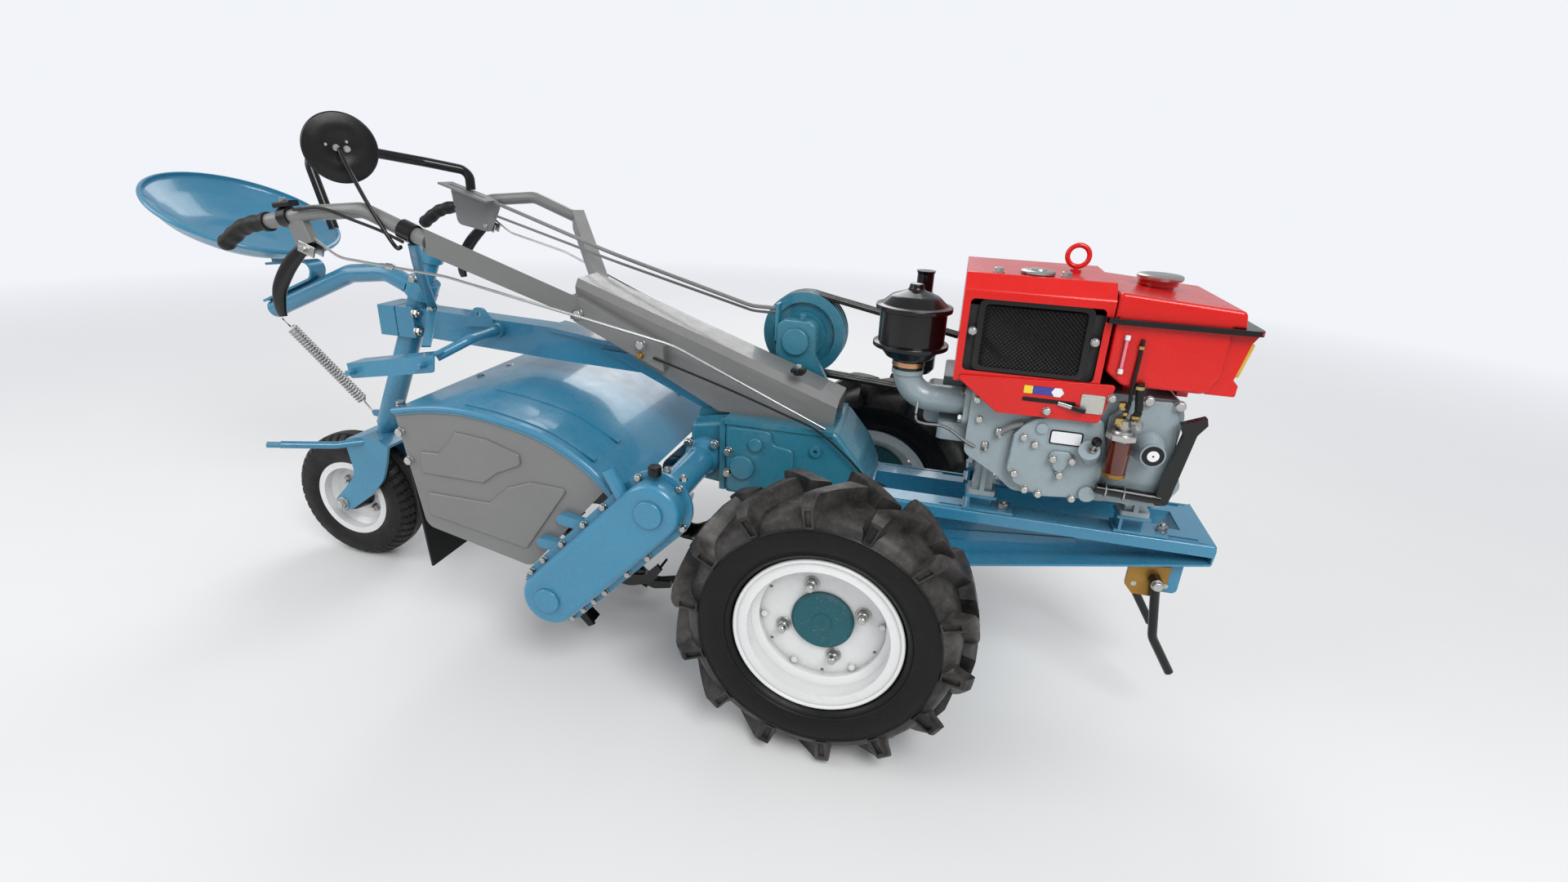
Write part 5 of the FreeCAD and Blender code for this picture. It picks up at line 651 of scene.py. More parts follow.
@dataclass
class TailWheel(Assembly):
    """The tail wheel's block tread, hub cover and axle nuts."""

    centre: Point = (-1498.0, 0.0, 196.0)
    blocks: int = 44
    wall: tuple[tuple[float, float], ...] = (
        (40, 112), (43.4, 117), (48, 126), (51, 136), (52, 146), (51, 158), (49.5, 170), (48.5, 174))

    def tread(self) -> Skin:
        """The tyre: a turned wall, and a tread whose radius drops in grooves round it and across its shoulders.

        The tread's radius is the crown's minus 7 where the distance round, taken by the block's pitch, is in the
        groove's share on the shoulders, and in two rings either side of the middle.
        """
        half = np.array(self.wall)
        across = np.linspace(48.5, -48.5, 49)
        crown = 196.0 - 22.0 * np.abs(across / 48.5) ** 3.2
        profile = np.concatenate([half[:-1], np.column_stack([across, crown]), half[-2::-1] * (-1.0, 1.0)])
        y, radius = profile.T[:, :, None]
        count = self.blocks * 8
        turn = np.arange(count) / count
        phase = (turn * self.blocks + 0.5 * (y > 0.0) + np.abs(y) / 90.0) % 1.0
        tread = (np.abs(y) < 48.6) & (radius > 173.0)
        groove = tread & (((phase < 0.26) & (np.abs(y) > 17.0)) | (np.abs(np.abs(y) - 15.5) < 1.6))
        radius = radius - np.where(groove, 7.0, 0.0)
        angle = turn * 2.0 * np.pi
        x, _, z = self.centre
        y, radius, angle = np.broadcast_arrays(y, radius, angle)
        return sheeted(np.stack([x + radius * np.cos(angle), y, z + radius * np.sin(angle)], axis=-1), loop=True)

    def build(self) -> None:
        """Tyre, hub covers, disc nuts and axle nuts."""
        self.piece("tail_block_tyre", self.tread(), "tail_tyre_rubber", "tail_wheel", ("tail_tyre",), 30.0)
        x, _, z = self.centre
        for side, face in (("right", -1.0), ("left", 1.0)):
            axis = (0.0, face, 0.0)
            cover = spun([(2.0, 0.0), (2.0, 41.0), (10.0, 40.5), (46.0, 35.0), (56.0, 30.0), (59.0, 25.0),
                          (60.0, 0.0)], 36, [(x, 0.0, z)], axis)
            self.piece(f"tail_hub_cover_{side}", cover, "black_moulding", "tail_wheel")
            angle = np.radians(45.0) + np.arange(4) * np.pi / 2.0
            ring = np.stack([x + 58.0 * np.cos(angle), 0 * angle + 3.0 * face, z + 58.0 * np.sin(angle)], axis=-1)
            self.piece(f"tail_disc_nuts_{side}", NUT_12.at(ring, axis), "zinc_plate", "tail_wheel")
            nut = Fastener(27.0, 9.0, 20.0, 3.0, 10.5, 3.5).at([(x, 78.0 * face, z)], axis)
            self.piece(f"tail_axle_nut_{side}", nut, "zinc_plate", "tail_fork")


@dataclass
class EngineParts(Assembly):
    """Bolts, grille, signs, fuel lines and fittings of the engine."""

    near: Point = (0.0, -1.0, 0.0)
    up: Point = (0.0, 0.0, 1.0)
    mesh_x: tuple[float, float] = (241.0, 431.0)
    mesh_z: tuple[float, float] = (838.0, 962.0)
    wire_step: float = 8.5

    def grille(self) -> None:
        """The black frame behind the hood's opening and its net of crossed wires.

        A wire is a four-sided bar between two edges of the opening along a slanting line; both families come
        from one array of line numbers clipped to the opening.
        """
        (x0, x1), (z0, z1) = self.mesh_x, self.mesh_z
        wide, high = x1 - x0, z1 - z0
        offset = np.arange(-high + self.wire_step, wide, self.wire_step)
        low, far = np.maximum(offset, 0.0), np.minimum(offset + high, wide)
        section = turned([(0.0, 0.85)], 4)[0]
        bars = []
        for lean, depth in ((1.0, -172.2), (-1.0, -173.4)):
            base = x0 if lean > 0 else x1
            starts = np.stack([base + lean * low, 0 * low + depth, z0 + low - offset], axis=-1)
            ends = np.stack([base + lean * far, 0 * far + depth, z0 + far - offset], axis=-1)
            axis = unit(ends - starts)
            across = np.cross(axis, (0.0, 1.0, 0.0))
            ring = section[None, :, :1] * across[:, None] + section[None, :, 1:2] * np.array((0.0, 1.0, 0.0))
            bars.append(sheeted(np.stack([starts[:, None] + ring, ends[:, None] + ring], axis=1)))
        self.piece("grille_net", joined(*bars), "black_enamel")
        middle = np.array(((x0 + x1) / 2.0, -172.0, (z0 + z1) / 2.0))
        outer, inner = oblong(wide + 24.0, high + 20.0, 14.0, 64), oblong(wide + 1.0, high + 1.0, 18.0, 64)
        rows = [(outer, -3.0), (outer, 3.0), (inner, 3.0), (inner, -3.0)]
        grid = np.stack([np.stack([flat[:, 0], 0 * flat[:, 0] - rise, flat[:, 1]], axis=1) for flat, rise in rows])
        self.piece("grille_frame", sheeted(grid + middle, loop=True), "black_enamel")
        bolts = M8.at([(222.0, -180.0, 908.0), (450.0, -180.0, 908.0)], self.near)
        self.piece("grille_bolts", bolts, "zinc_plate")

    def signs(self) -> None:
        """Blank signs, the slot's lever and the type plate of the lower cover; the blank label of the gear cover."""
        face = -186.0
        strip = plate(oblong(17.0, 16.0, 12.0), 0.6, 0.3, [(344.5, face, 804.0)], self.near)
        self.piece("sign_yellow_field", strip, "sign_yellow")
        strip = plate(oblong(39.0, 16.0, 12.0), 0.6, 0.3, [(372.5, face, 804.0)], self.near)
        self.piece("sign_blue_field", strip, "sign_blue")
        badge = plate(disc(12.0, 6) * (1.0, 0.86), 1.0, 0.4, [(400.0, face, 803.5)], self.near)
        self.piece("sign_white_badge", badge, "sign_white")
        slot = plate(oblong(101.0, 8.0, 10.0), 0.4, 0.2, [(386.5, face, 784.0)], self.near)
        self.piece("lever_slot", slot, "black_moulding")
        lever = bar((404.0, face - 2.0, 783.0), (450.0, face - 8.0, 775.0), oblong(5.0, 8.0, 4.0, 16))
        self.piece("slot_lever", lever, "zinc_plate")
        knob = bar((430.0, face - 6.0, 778.5), (456.0, face - 9.0, 774.0), oblong(7.0, 10.0, 3.0, 16))
        self.piece("slot_lever_end", knob, "black_moulding")
        kind = plate(oblong(44.0, 38.0, 14.0), 0.8, 0.4, [(467.0, face, 787.5)], self.near)
        self.piece("blank_type_plate", kind, "type_plate")
        rivets = [(x, face - 0.6, z) for x in (449.0, 485.0) for z in (772.5, 802.5)]
        dome = spun([(-0.5, 0.0), (-0.5, 2.0), (0.5, 1.8), (1.0, 1.0), (1.2, 0.0)], 10, rivets, self.near)
        self.piece("type_plate_rivets", dome, "zinc_plate")
        border = plate(oblong(64.0, 31.0, 10.0), 0.6, 0.3, [(435.0, -171.2, 706.5)], self.near)
        self.piece("label_border", border, "black_moulding")
        field_ = plate(oblong(58.0, 25.0, 12.0), 1.0, 0.3, [(435.0, -171.2, 706.5)], self.near)
        self.piece("label_field", field_, "sign_white")

    def bolts(self) -> None:
        """Cover bolts, starter discs, dipstick, tops and the elbow's bolts."""
        gear = [(354, 698), (347, 616), (373, 583), (401, 577), (468, 577), (378, 685)]
        self.piece("gear_cover_bolts", M8.at([(x, -170.0, z) for x, z in gear], self.near), "zinc_plate")
        plug = [(416, 662), (453, 662), (434, 628)]
        self.piece("plug_bolts", M8.at([(x, -178.0, z) for x, z in plug], self.near), "zinc_plate")
        side = [(572, -162, 801), (629, -162, 797), (648, -150, 703)]
        self.piece("side_cover_bolts", M10.at(side, self.near), "zinc_plate")
        self.piece("lower_cover_bolts", M8.at([(386, -186, 764), (500, -186, 804)], self.near), "zinc_plate")
        elbow = [(227.7, y, z) for y in (-128, -72) for z in (768, 708)]
        self.piece("elbow_flange_bolts", M10.at(elbow, (-1.0, 0.0, 0.0)), "zinc_plate")
        self.piece("elbow_side_bolts", M8.at([(252, -150, 760), (262, -150, 718)], self.near), "zinc_plate")
        rings = ((20.0, 1.5, "black_moulding"), (11.0, 2.4, "sign_white"), (2.0, 2.8, "black_moulding"))
        for number, (radius, rise, finish) in enumerate(rings):
            face = spun([(-0.5, 0.0), (-0.5, radius), (rise - 0.4, radius), (rise, radius - 0.4), (rise, 0.0)], 36,
                        [(590.0, -212.0, 706.0)], self.near)
            self.piece(f"starter_disc_{number}", face, finish)
        lean = (0.15, -0.3, 0.9)
        stem = spun([(0.0, 0.0), (0.0, 9.0), (3.0, 9.0), (4.0, 4.0), (18.0, 4.0), (18.0, 0.0)], 20,
                    [(482.0, -202.0, 700.0)], lean)
        self.piece("dipstick_stem", stem, "zinc_plate")
        knob = spun([(14.0, 0.0), (14.0, 7.5), (17.0, 9.5), (25.0, 9.5), (28.0, 7.5), (28.5, 0.0)], 24,
                    [(482.0, -202.0, 700.0)], lean)
        self.piece("dipstick_knob", knob, "black_moulding")
        hood = [(257, -130, 1018), (385, -120, 1018)]
        self.piece("hood_bolts", M10.at(hood, self.up), "zinc_plate")
        cap = [(0.0, 0.0), (0.0, 30.0), (3.0, 33.0), (7.0, 33.0), (9.0, 30.0), (9.0, 17.0), (12.0, 15.0), (13.0, 0.0)]
        self.piece("radiator_cap", spun(cap, 40, [(332, -112, 1017)], self.up), "zinc_plate")
        lid = [(0.0, 0.0), (0.0, 42.0), (3.0, 44.0), (8.0, 44.0), (10.5, 41.0), (12.0, 26.0), (13.0, 0.0)]
        self.piece("tank_cap_plate", spun(lid, 44, [(578, -8, 1013)], self.up), "zinc_plate")
        trim = plate(oblong(334.0, 268.0, 24.0, 96), 9.5, 1.0, [(595, -31, 950)], self.up)
        self.piece("tank_trim", trim, "black_enamel")
        self.piece("tank_bolt", M8.at([(713, -100, 957.5)], self.up), "zinc_plate")

    def fuel_lines(self) -> None:
        """Glass bowl, brass nuts, hoses, sight tube and injection pipe."""
        bowl = [(0.0, 0.0), (0.0, 16.0), (3.0, 20.0), (8.0, 22.0), (82.0, 22.0), (84.0, 20.0), (84.0, 0.0)]
        glass = turned(bowl, 48)
        glass[..., :2] *= np.where(np.arange(48) % 2 == 0, 1.0, 0.97)[None, :, None]
        self.piece("filter_glass", sheeted(placed(glass, [(531, -196, 646)], self.up)), "fuel_bowl")
        band = [(0.0, 21.9), (0.0, 22.3), (4.0, 22.4), (8.0, 22.3), (8.0, 21.9)]
        self.piece("filter_base_band", spun(band, 32, [(531, -196, 650)], self.up), "yellow_zinc")
        ring = turned([(0.0, 0.0), (0.0, 28.0), (2.0, 30.0), (12.0, 30.0), (14.0, 28.0), (14.0, 0.0)], 8)
        head = [(0.0, 0.0), (0.0, 22.0), (6.0, 20.0), (10.0, 13.0), (26.0, 12.0), (28.0, 0.0)]
        arm = tube([(531, -196, 752), (531, -180, 756), (530, -150, 762)], 9.0, 16)
        body = joined(sheeted(placed(ring, [(531, -196, 728)], self.up)), spun(head, 28, [(531, -196, 741)], self.up),
                      arm)
        self.piece("filter_body", body, "zinc_plate", replaces=("fuel_filter",))
        nuts = joined(Fastener(20.0, 12.0, 12.0, 2.0).at([(522, -196, 757)], self.up),
                      Fastener(15.0, 10.0, 9.0, 2.0).at([(523, -186, 787)], self.up))
        self.piece("filter_nuts", nuts, "brass_fitting")
        tap = spun([(0.0, 0.0), (0.0, 7.0), (12.0, 7.0), (14.0, 10.0), (22.0, 10.0), (24.0, 0.0)], 20,
                   [(540, -196, 762)], (0.6, -0.8, 0.1))
        self.piece("filter_tap", tap, "zinc_plate")
        thin = [(531, -190, 924), (531, -191, 884), (530, -193, 826), (532, -192, 800), (528, -193, 772)]
        self.piece("thin_fuel_hose", tube(thin, 3.6), "black_rubber")
        thick = [(543, -192, 842), (547, -193, 810), (550, -194, 785), (545, -195, 766)]
        self.piece("thick_fuel_hose", tube(thick, 7.5, 14), "black_rubber")
        clip = [(0.0, 4.5), (0.0, 6.0), (6.0, 6.0), (6.0, 4.5)]
        clips = joined(spun(clip, 20, [(531, -190, 906), (528, -193, 776)], self.up),
                       spun([(h, r + 3.4) for h, r in clip], 20, [(543, -192, 830), (547, -195, 772)], self.up))
        self.piece("hose_clips", clips, "brass_fitting")
        sight = tube([(503, -191, 925), (503, -191, 862)], 3.2, 12, guide=self.near)
        self.piece("sight_tube", sight, "gauge_tube")
        ends = spun([(0.0, 0.0), (0.0, 5.0), (8.0, 5.0), (9.0, 4.0), (9.0, 0.0)], 16,
                    [(503, -191, 921), (503, -191, 856)], self.up)
        self.piece("sight_tube_ends", ends, "white_enamel")
        pipe = [(132, -150, 741), (132, -150, 702), (150, -150, 693), (195, -150, 691), (243, -152, 664),
                (262, -152, 656)]
        self.piece("injection_pipe", tube(pipe, 3.2), "zinc_plate")
        unions = Fastener(14.0, 16.0, 0.0).at([(282, -150, 652), (305, -158, 688)], self.up)
        self.piece("pump_unions", unions, "zinc_plate")
        sleeve = tube([(303, -158, 694), (326, -160, 712), (350, -158, 722)], 6.0)
        self.piece("pump_sleeve", sleeve, "grey_enamel")
        band = [(0.0, 33.0), (0.0, 34.8), (10.0, 34.8), (10.0, 33.0)]
        self.piece("cleaner_clamp", spun(band, 40, [(100, -100, 805)], self.up), "copper_band")

    def crank_clips(self) -> None:
        """The wire loops about the crank handle's shaft."""
        angle = np.linspace(0.0, 2.0 * np.pi, 33)
        loops = [carried(np.stack([0 * angle + x, -181.0 + 13.0 * np.cos(angle), z + 13.0 * np.sin(angle)], axis=1),
                         disc(1.8, 8), (1.0, 0.0, 0.0)) for x, z in ((526.0, 611.0), (561.0, 609.0))]
        self.piece("crank_wire_loops", joined(*loops), "zinc_plate")
        self.piece("crank_sleeve", tube([(508, -182, 612), (560, -182, 609.5), (612, -182, 607)], 11.5, 20),
                   "black_enamel")

    def build(self) -> None:
        """All the engine's small parts."""
        self.grille()
        self.signs()
        self.bolts()
        self.fuel_lines()
        self.crank_clips()


@dataclass
class TillerParts(Assembly):
    """Bolts of the chain case, the gearboxes, the side plate and the tiller's hood."""

    near: Point = (0.0, -1.0, 0.0)
    up: Point = (0.0, 0.0, 1.0)
    rim_bolts: tuple[tuple[float, float], ...] = (
        (-404, 570), (-334, 550), (-315, 479), (-389, 387), (-438, 336), (-493, 276), (-524, 250), (-554, 223),
        (-585, 198), (-617, 180), (-657, 177), (-689, 198), (-708, 233), (-705, 272), (-686, 304), (-650, 339),
        (-600, 389), (-543, 446), (-493, 496))
    hood_edge: tuple[tuple[float, float], ...] = (
        (-1017, 636), (-929, 653), (-846, 659), (-766, 651), (-649, 628), (-537, 569), (-478, 506))
    slope: tuple[tuple[float, float], tuple[float, float]] = ((-370, 516), (-620, 258))
    bolt_reach: float = 72.5

    def snapped(self) -> Array:
        """The rim's bolts moved out to their distance from the case's middle line.

        Each is carried along the line from its nearest point on the middle line through it.
        """
        given = np.array(self.rim_bolts, dtype=float)
        start, end = np.array(self.slope, dtype=float)
        share = np.clip((given - start) @ (end - start) / ((end - start) @ (end - start)), 0.0, 1.0)
        foot = start + share[:, None] * (end - start)
        flat = foot + unit(given - foot) * self.bolt_reach
        return np.stack([flat[:, 0], np.full(len(flat), -376.0), flat[:, 1]], axis=1)

    def build(self) -> None:
        """All the tiller's fasteners and its filler cap."""
        self.piece("chain_case_bolts", M8.at(self.snapped(), self.near), "zinc_plate")
        gearbox = [(-398, 559), (-332, 564), (-297, 550), (-299, 495)]
        self.piece("tiller_gearbox_bolts", M10.at([(x, -115, z) for x, z in gearbox], self.near), "zinc_plate")
        flange = Fastener(15.0, 8.0, 0.0, 0.0, 5.0, 5.0).at([(-352, -360, 590), (-315, -360, 578)], self.up)
        self.piece("tube_flange_nuts", flange, "zinc_plate")
        plate_bolts = [(-1006, -347, 586), (-993, -347, 518)]
        self.piece("side_plate_bolts", M10.at(plate_bolts, self.near), "zinc_plate")
        for side, y in (("right", -349.0), ("left", 349.0)):
            edge_wear_and_highlight = [(x, y, z) for x, z in self.hood_edge]
            self.piece(f"hood_rolled_edge_{side}", tube(edge_wear_and_highlight, 6.5, 14), "blue_enamel")
        cap = [(0.0, 0.0), (0.0, 13.0), (4.0, 14.0), (17.0, 14.0), (20.0, 12.5), (20.5, 0.0)]
        self.piece("case_filler_cap", spun(cap, 28, [(-366, -388, 594)], self.up), "black_moulding")
        rear = [(-1016, -323, 642), (-985, -75, 642), (-970, 33, 642), (-708, 138, 632)]
        self.piece("hood_seam_bolts", M10.at(rear, self.up), "zinc_plate")


@dataclass
class FrameParts(Assembly):
    """Engine feet nuts, the stand's plate and its bolts."""

    near: Point = (0.0, -1.0, 0.0)
    up: Point = (0.0, 0.0, 1.0)

    def build(self) -> None:
        """All the frame's small parts."""
        feet = [(x, y, 491.5) for x in (346, 681) for y in (-80, 80)]
        self.piece("mount_nuts", NUT_12.at(feet, self.up), "zinc_plate")
        outline = np.array([(-43, 30), (43, 40), (43, -12), (24, -40), (-24, -40), (-43, -18)], dtype=float)
        gusset = plate(outline, 1.6, 0.5, [(676, -86, 370)], self.near)
        self.piece("stand_plate", gusset, "yellow_zinc")
        self.piece("stand_pivot_bolt", M12.at([(691, -112, 374)], self.near), "zinc_plate")
        rivet = [(-0.5, 0.0), (-0.5, 6.5), (0.5, 6.2), (1.2, 4.0), (1.2, 0.0)]
        small = [(651, -87.6, 356), (716, -87.6, 361)]
        self.piece("stand_plate_rivets", spun(rivet, 16, small, self.near), "zinc_plate")


@dataclass
class HandleParts(Assembly):
    """Bolts, rods, links and clamps of the handlebar, the gear levers and the seat post."""

    near: Point = (0.0, -1.0, 0.0)
    up: Point = (0.0, 0.0, 1.0)
    spring: tuple[Point, Point] = ((-1640, 0, 690), (-1440, 0, 500))
    beam_cable: tuple[Point, ...] = (
        (-494, -95, 753), (-392, -98, 725), (-281, -111, 697), (-171, -119, 664), (-86, -121, 634),
        (-11, -121, 578), (34, -119, 536), (80, -108, 515))
    coil_r: float = 13.0
    wire_r: float = 2.5
    turns: int = 30

    def coil(self) -> Skin:
        """The seat spring: a wire on a helix between its hooks.

        A point goes round the spring's line at the coil's radius while it moves along it, and the wire's ends
        run straight to the two eyes.
        """
        start, end = np.array(self.spring, dtype=float)
        along = unit(end - start)
        side = unit(np.cross(along, (0.0, 1.0, 0.0)))
        angle = np.linspace(0.0, 2.0 * np.pi * self.turns, self.turns * 14)[:, None]
        helix = (start + (end - start) * angle / angle[-1]
                 + self.coil_r * (np.cos(angle) * side + np.sin(angle) * np.array((0.0, 1.0, 0.0))))
        eyes = np.array([(-1668.0, 0.0, 716.0), (-1408.0, 0.0, 466.0)])
        path = np.concatenate([eyes[:1], start[None] - along * 6.0, helix, end[None] + along * 6.0, eyes[1:]])
        return carried(path, disc(self.wire_r, 7), tuple(along + 0.03 * side))

    def link(self) -> None:
        """The flat blue link between the lever and the gearbox's shaft."""
        flat = oblong(22.0, 5.0, 6.0, 20)
        upper = carried(curve([(-932, -312, 1003), (-1021, -200, 930), (-1112, -62, 808)]), flat)
        lower = carried(curve([(-1112, -62, 806), (-1075, -128, 770), (-1040, -190, 745)]), flat)
        self.piece("shift_link", joined(upper, lower), "blue_enamel")
        rod_along = (210.0, 64.0, -32.0)
        joint = spun([(-9.0, 0.0), (-9.0, 6.0), (-7.0, 7.5), (7.0, 7.5), (9.0, 6.0), (9.0, 0.0)], 12,
                     [(-1022.0, -286.0, 947.0)], rod_along)
        self.piece("rod_joint_nut", joint, "zinc_plate")
        self.piece("shift_link_bolt", M10.at([(-1113, -64, 806)], self.near), "zinc_plate")

    def grip(self, side: str, y: float) -> None:
        """A moulded grip: a round section whose size rises and falls with the fingers, behind a collar.

        Args:
            side: The side's name.
            y: Y of the handlebar's tube.
        """
        path = curve([(-1284, y, 1027), (-1330, y, 1019), (-1364, y, 1007), (-1398, y, 985), (-1423, y, 967)], 14)
        run = np.linspace(0.0, 1.0, len(path))
        fingers = 17.2 + 0.9 * np.cos(2.0 * np.pi * 4.5 * run) - 2.5 * np.clip(run - 0.93, 0.0, 1.0) / 0.07
        swell = np.where(run < 0.06, 20.5, fingers)
        self.piece(f"moulded_grip_{side}", carried(path, disc(1.0, 24), self.near, swell), "black_rubber",
                   replaces=(f"grip_{side}",), crease=50.0)

    def throttle(self) -> None:
        """The throttle's clamp on the near tube with its small lever, and the cable along the beam."""
        ring = spun([(-12.0, 15.5), (-12.0, 20.5), (12.0, 20.5), (12.0, 15.5)], 28, [(-1232, -320, 1040)],
                    (-0.98, 0.0, -0.2))
        block = bar((-1252, -322, 1063), (-1208, -322, 1070), oblong(26.0, 12.0, 6.0, 24))
        self.piece("throttle_clamp", joined(ring, block), "black_moulding")
        self.piece("throttle_nut", M8.at([(-1236, -322, 1071)], self.up), "zinc_plate")
        self.piece("beam_cable", tube(self.beam_cable, 2.6), "black_rubber")

    def mirror(self) -> None:
        """The round mirror with its dished back, its nuts and the bent rod that holds it."""
        place, ahead = [(-1086, -300, 1184)], np.array((0.75, -0.66, 0.0))
        back = spun([(-6.0, 0.0), (-6.0, 67.0), (-4.0, 69.5), (-1.0, 69.5), (2.0, 67.0), (6.0, 52.0), (7.5, 30.0),
                     (5.5, 26.0), (5.0, 0.0)], 72, place, ahead)
        self.piece("mirror_back", back, "black_moulding", replaces=("mirror",))
        glass = spun([(0.0, 0.0), (0.0, 64.0), (6.6, 64.0), (6.8, 0.0)], 72, place, -ahead)
        self.piece("mirror_glass", glass, "mirror_glass")
        side = np.array((0.66, 0.75, 0.0))
        flat = np.array([(-8, 0), (11, -2), (-26, 6), (12, 12), (2, -22)], dtype=float)
        spots = np.array(place[0]) + flat[:, :1] * side + flat[:, 1:] * np.array((0.0, 0.0, 1.0)) + ahead * 5.0
        nuts = joined(Fastener(11.0, 6.0, 7.0, 1.2).at(spots[:2], ahead),
                      Fastener(5.5, 2.5, 0.0, 0.0).at(spots[2:], ahead))
        self.piece("mirror_nuts", nuts, "zinc_plate")
        rod = [(-1074, -311, 1181), (-1066, -322, 1172), (-1010, -336, 1085), (-955, -341, 1004), (-938, -341, 1000)]
        self.piece("mirror_rod", tube(rod, 4.2, 12), "black_enamel")

    def hand_lever(self, side: str, y: float) -> None:
        """A grey bracket under the handlebar with its clevis and the curved flat lever.

        Args:
            side: The side's name.
            y: Y of the handlebar's tube.
        """
        bracket = bar((-1212, y, 1046), (-1192, y, 986), oblong(26.0, 44.0, 5.0, 28), (1.0, 0.0, 0.0))
        self.piece(f"lever_bracket_{side}", bracket, "grey_enamel", replaces=(f"hand_lever_{side}",))
        clevis = joined(*(bar((-1206, y + shift, 984), (-1168, y + shift, 970), oblong(4.0, 24.0, 4.0, 20))
                          for shift in (-12.0, 12.0)))
        self.piece(f"lever_clevis_{side}", clevis, "zinc_plate")
        pin = M8.at([(-1192, y - 14.0, 978)], self.near)
        self.piece(f"lever_pin_{side}", pin, "zinc_plate")
        path = curve([(-1188, y, 990), (-1225, y, 962), (-1263, y, 925), (-1294, y, 880), (-1303, y, 840),
                      (-1300, y, 818)])
        swell = 0.45 + 0.55 * np.sin(np.pi * np.linspace(0.12, 0.92, len(path)))
        lever = carried(path, oblong(34.0, 16.0, 3.0, 24), self.near, swell)
        self.piece(f"curved_lever_{side}", lever, "black_enamel")

    def build(self) -> None:
        """All the handle's and the seat's small parts."""
        self.piece("wound_seat_spring", self.coil(), "zinc_plate", "chassis", ("coil_spring",), 60.0)
        arm = [(-685, -91, 839), (-526, -91, 780)]
        self.piece("handle_arm_bolts", M12.at(arm, self.near), "zinc_plate")
        self.piece("rod_eye_bolt", M8.at([(-528, -91, 754)], self.near), "yellow_zinc")
        knob = turned([(0.0, 0.0), (0.0, 12.0), (4.0, 12.0), (5.0, 17.0), (13.0, 17.0), (16.0, 13.0), (16.0, 0.0)], 36)
        lobes = 1.0 + 0.14 * np.cos(6.0 * np.arange(36) * 2.0 * np.pi / 36)
        knob[2:6, :, :2] *= lobes[None, :, None]
        self.piece("beam_star_knob", sheeted(placed(knob, [(-148, -65, 744)], self.up)), "black_moulding")
        self.piece("beam_knob_bolt", M8.at([(-148, -65, 758)], self.up), "zinc_plate")
        self.link()
        clamp = spun([(-16.0, 16.2), (-16.0, 21.0), (16.0, 21.0), (16.0, 16.2)], 24, [(-932, -320, 1029)],
                     (-0.94, 0.0, 0.34))
        self.piece("tube_clamp", clamp, "black_enamel")
        cable = [(-1193, -340, 1058), (-1120, -343, 1066), (-1050, -342, 1048), (-985, -340, 1030),
                 (-934, -338, 1010)]
        self.piece("throttle_cable", tube(cable, 3.2), "black_rubber")
        collar = [(-1185, -30, 871), (-1172, -12, 831)]
        self.piece("post_collar_bolts", M10.at(collar, self.near), "zinc_plate")
        studs = [(-1190, y, z) for y in (-38, 38) for z in (783, 735)]
        self.piece("post_clamp_nuts", NUT_12.at(studs, (1.0, 0.0, 0.0)), "zinc_plate")
        self.mirror()
        self.throttle()
        for side, y in (("right", -320.0), ("left", 320.0)):
            self.hand_lever(side, y)
            self.grip(side, y)


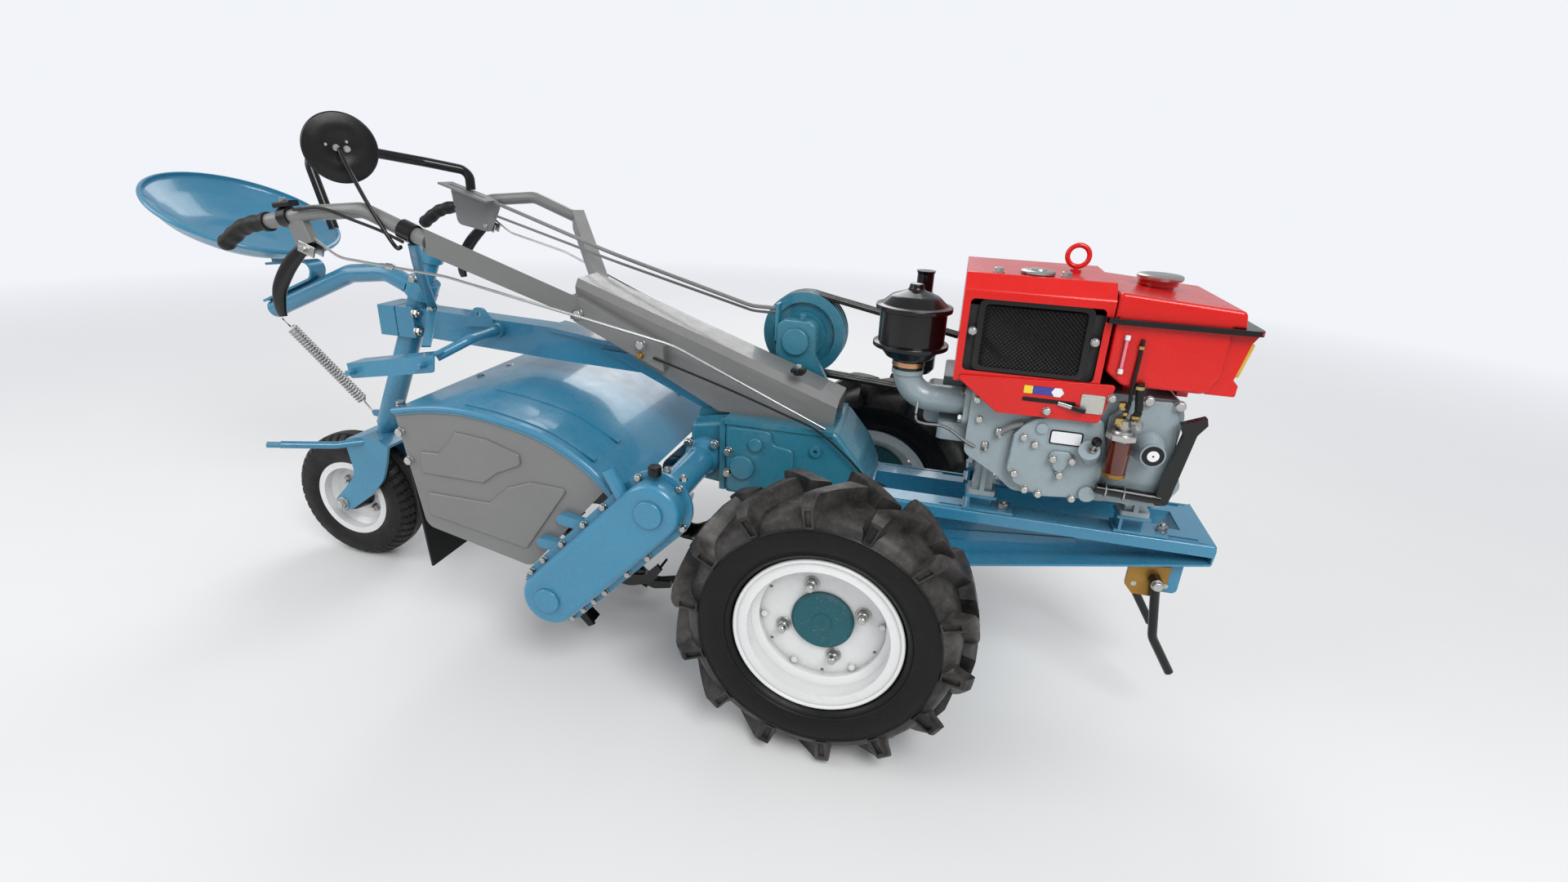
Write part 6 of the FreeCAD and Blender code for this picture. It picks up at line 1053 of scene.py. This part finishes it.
@dataclass
class Studio:
    """Camera at the photograph's view, pale floor and soft lights."""

    lens: float = 16.546
    sensor: float = 36.0
    yaw: float = 0.2259
    pitch: float = 0.377
    roll: float = 0.0498
    eye: Point = (AXLE_X + 0.186, -1.6324, 1.212)
    floor_radius: float = 14.0
    sky: Colour = (0.93, 0.95, 1.0)
    sky_seen: float = 0.95
    sky_cast: float = 0.55

    def camera(self) -> None:
        """Camera turned by yaw and pitch, then rolled about its line of sight."""
        ahead = Vector((-math.sin(self.yaw) * math.cos(self.pitch), math.cos(self.yaw) * math.cos(self.pitch),
                        -math.sin(self.pitch)))
        side = Vector((math.cos(self.yaw), math.sin(self.yaw), 0.0))
        up = side.cross(ahead)
        right = side * math.cos(self.roll) + up * math.sin(self.roll)
        above = up * math.cos(self.roll) - side * math.sin(self.roll)
        turn = Matrix((right, above, -ahead)).transposed().to_4x4()
        data = bpy.data.cameras.new("photo_view")
        data.lens = self.lens
        data.sensor_width = self.sensor
        data.clip_start = 0.05
        camera = bpy.data.objects.new("photo_view", data)
        camera.matrix_world = Matrix.Translation(self.eye) @ turn
        bpy.context.scene.collection.objects.link(camera)
        bpy.context.scene.camera = camera

    def floor(self) -> None:
        """Pale plain ground as a round sheet."""
        graph = Graph("pale_floor")
        shader = graph.add("ShaderNodeBsdfPrincipled")
        tone = graph.mixed(graph.noise(1.5, 4.0, 0.5), (0.76, 0.76, 0.75), (0.8, 0.8, 0.79))
        graph.join(tone, shader.inputs["Base Color"])
        shader.inputs["Roughness"].default_value = 0.75
        sky = graph.add("ShaderNodeEmission")
        sky.inputs["Color"].default_value = (*self.sky, 1.0)
        sky.inputs["Strength"].default_value = self.sky_seen
        distance = graph.add("ShaderNodeVectorMath", operation="LENGTH")
        graph.join(graph.place, distance.inputs[0])
        far = graph.ranged(distance.outputs["Value"], 2.0, 7.0)
        seen = graph.add("ShaderNodeLightPath").outputs["Is Camera Ray"]
        blend = graph.add("ShaderNodeMixShader")
        graph.join(graph.sums("MULTIPLY", far, seen), blend.inputs["Fac"])
        graph.join(shader.outputs[0], blend.inputs[1])
        graph.join(sky.outputs[0], blend.inputs[2])
        graph.join(blend.outputs[0], graph.output.inputs["Surface"])
        angles = np.linspace(0.0, 2.0 * np.pi, 97)[:-1]
        points = np.stack([np.cos(angles), np.sin(angles), np.zeros_like(angles)], axis=1) * self.floor_radius
        mesh = bpy.data.meshes.new("floor")
        mesh.from_pydata(points.tolist(), [], [list(range(len(points)))])
        mesh.materials.append(graph.material)
        sheet = bpy.data.objects.new("floor", mesh)
        bpy.context.scene.collection.objects.link(sheet)

    def world(self) -> None:
        """Even pale light all round, white to the camera."""
        world = bpy.data.worlds.new("studio")
        world.use_nodes = True
        tree = world.node_tree
        tree.nodes.clear()
        path = tree.nodes.new("ShaderNodeLightPath")
        strength = tree.nodes.new("ShaderNodeMapRange")
        strength.inputs["To Min"].default_value = self.sky_cast
        strength.inputs["To Max"].default_value = self.sky_seen
        shader = tree.nodes.new("ShaderNodeBackground")
        output = tree.nodes.new("ShaderNodeOutputWorld")
        shader.inputs["Color"].default_value = (*self.sky, 1.0)
        tree.links.new(path.outputs["Is Camera Ray"], strength.inputs["Value"])
        tree.links.new(strength.outputs["Result"], shader.inputs["Strength"])
        tree.links.new(shader.outputs[0], output.inputs["Surface"])
        bpy.context.scene.world = world

    def lamp(self, name: str, place: Point, aim: Point, size: float, power: float) -> None:
        """A soft square lamp that looks at a point.

        Args:
            name: The lamp's name.
            place: Where it hangs.
            aim: The point that it lights.
            size: Side of the square.
            power: Watts.
        """
        data = bpy.data.lights.new(name, "AREA")
        data.size = size
        data.energy = power
        lamp = bpy.data.objects.new(name, data)
        lamp.location = place
        lamp.rotation_euler = (Vector(aim) - Vector(place)).to_track_quat("-Z", "Y").to_euler()
        bpy.context.scene.collection.objects.link(lamp)

    def build(self) -> None:
        """Sets up camera, floor, sky and lamps."""
        bpy.context.scene.view_settings.view_transform = "Standard"
        self.camera()
        self.floor()
        self.world()
        self.lamp("key", (2.6, -3.2, 4.2), (0.0, 0.0, 0.5), 2.4, 175.0)
        self.lamp("fill", (-3.5, -2.2, 3.0), (0.0, 0.0, 0.6), 3.0, 70.0)
        self.lamp("rim", (-0.6, 4.0, 3.6), (0.0, 0.0, 0.6), 3.0, 80.0)
        log.info("studio ready")


def main() -> None:
    """Builds the studio and dresses the tractor."""
    logging.basicConfig(level=logging.INFO, format="%(message)s")
    Studio().build()
    finishes = Finishes()
    finishes.dress_nodes()
    for assembly in (DriveWheels, TailWheel, EngineParts, TillerParts, FrameParts, HandleParts):
        assembly(finishes).build()


if __name__ == "__main__":
    main()
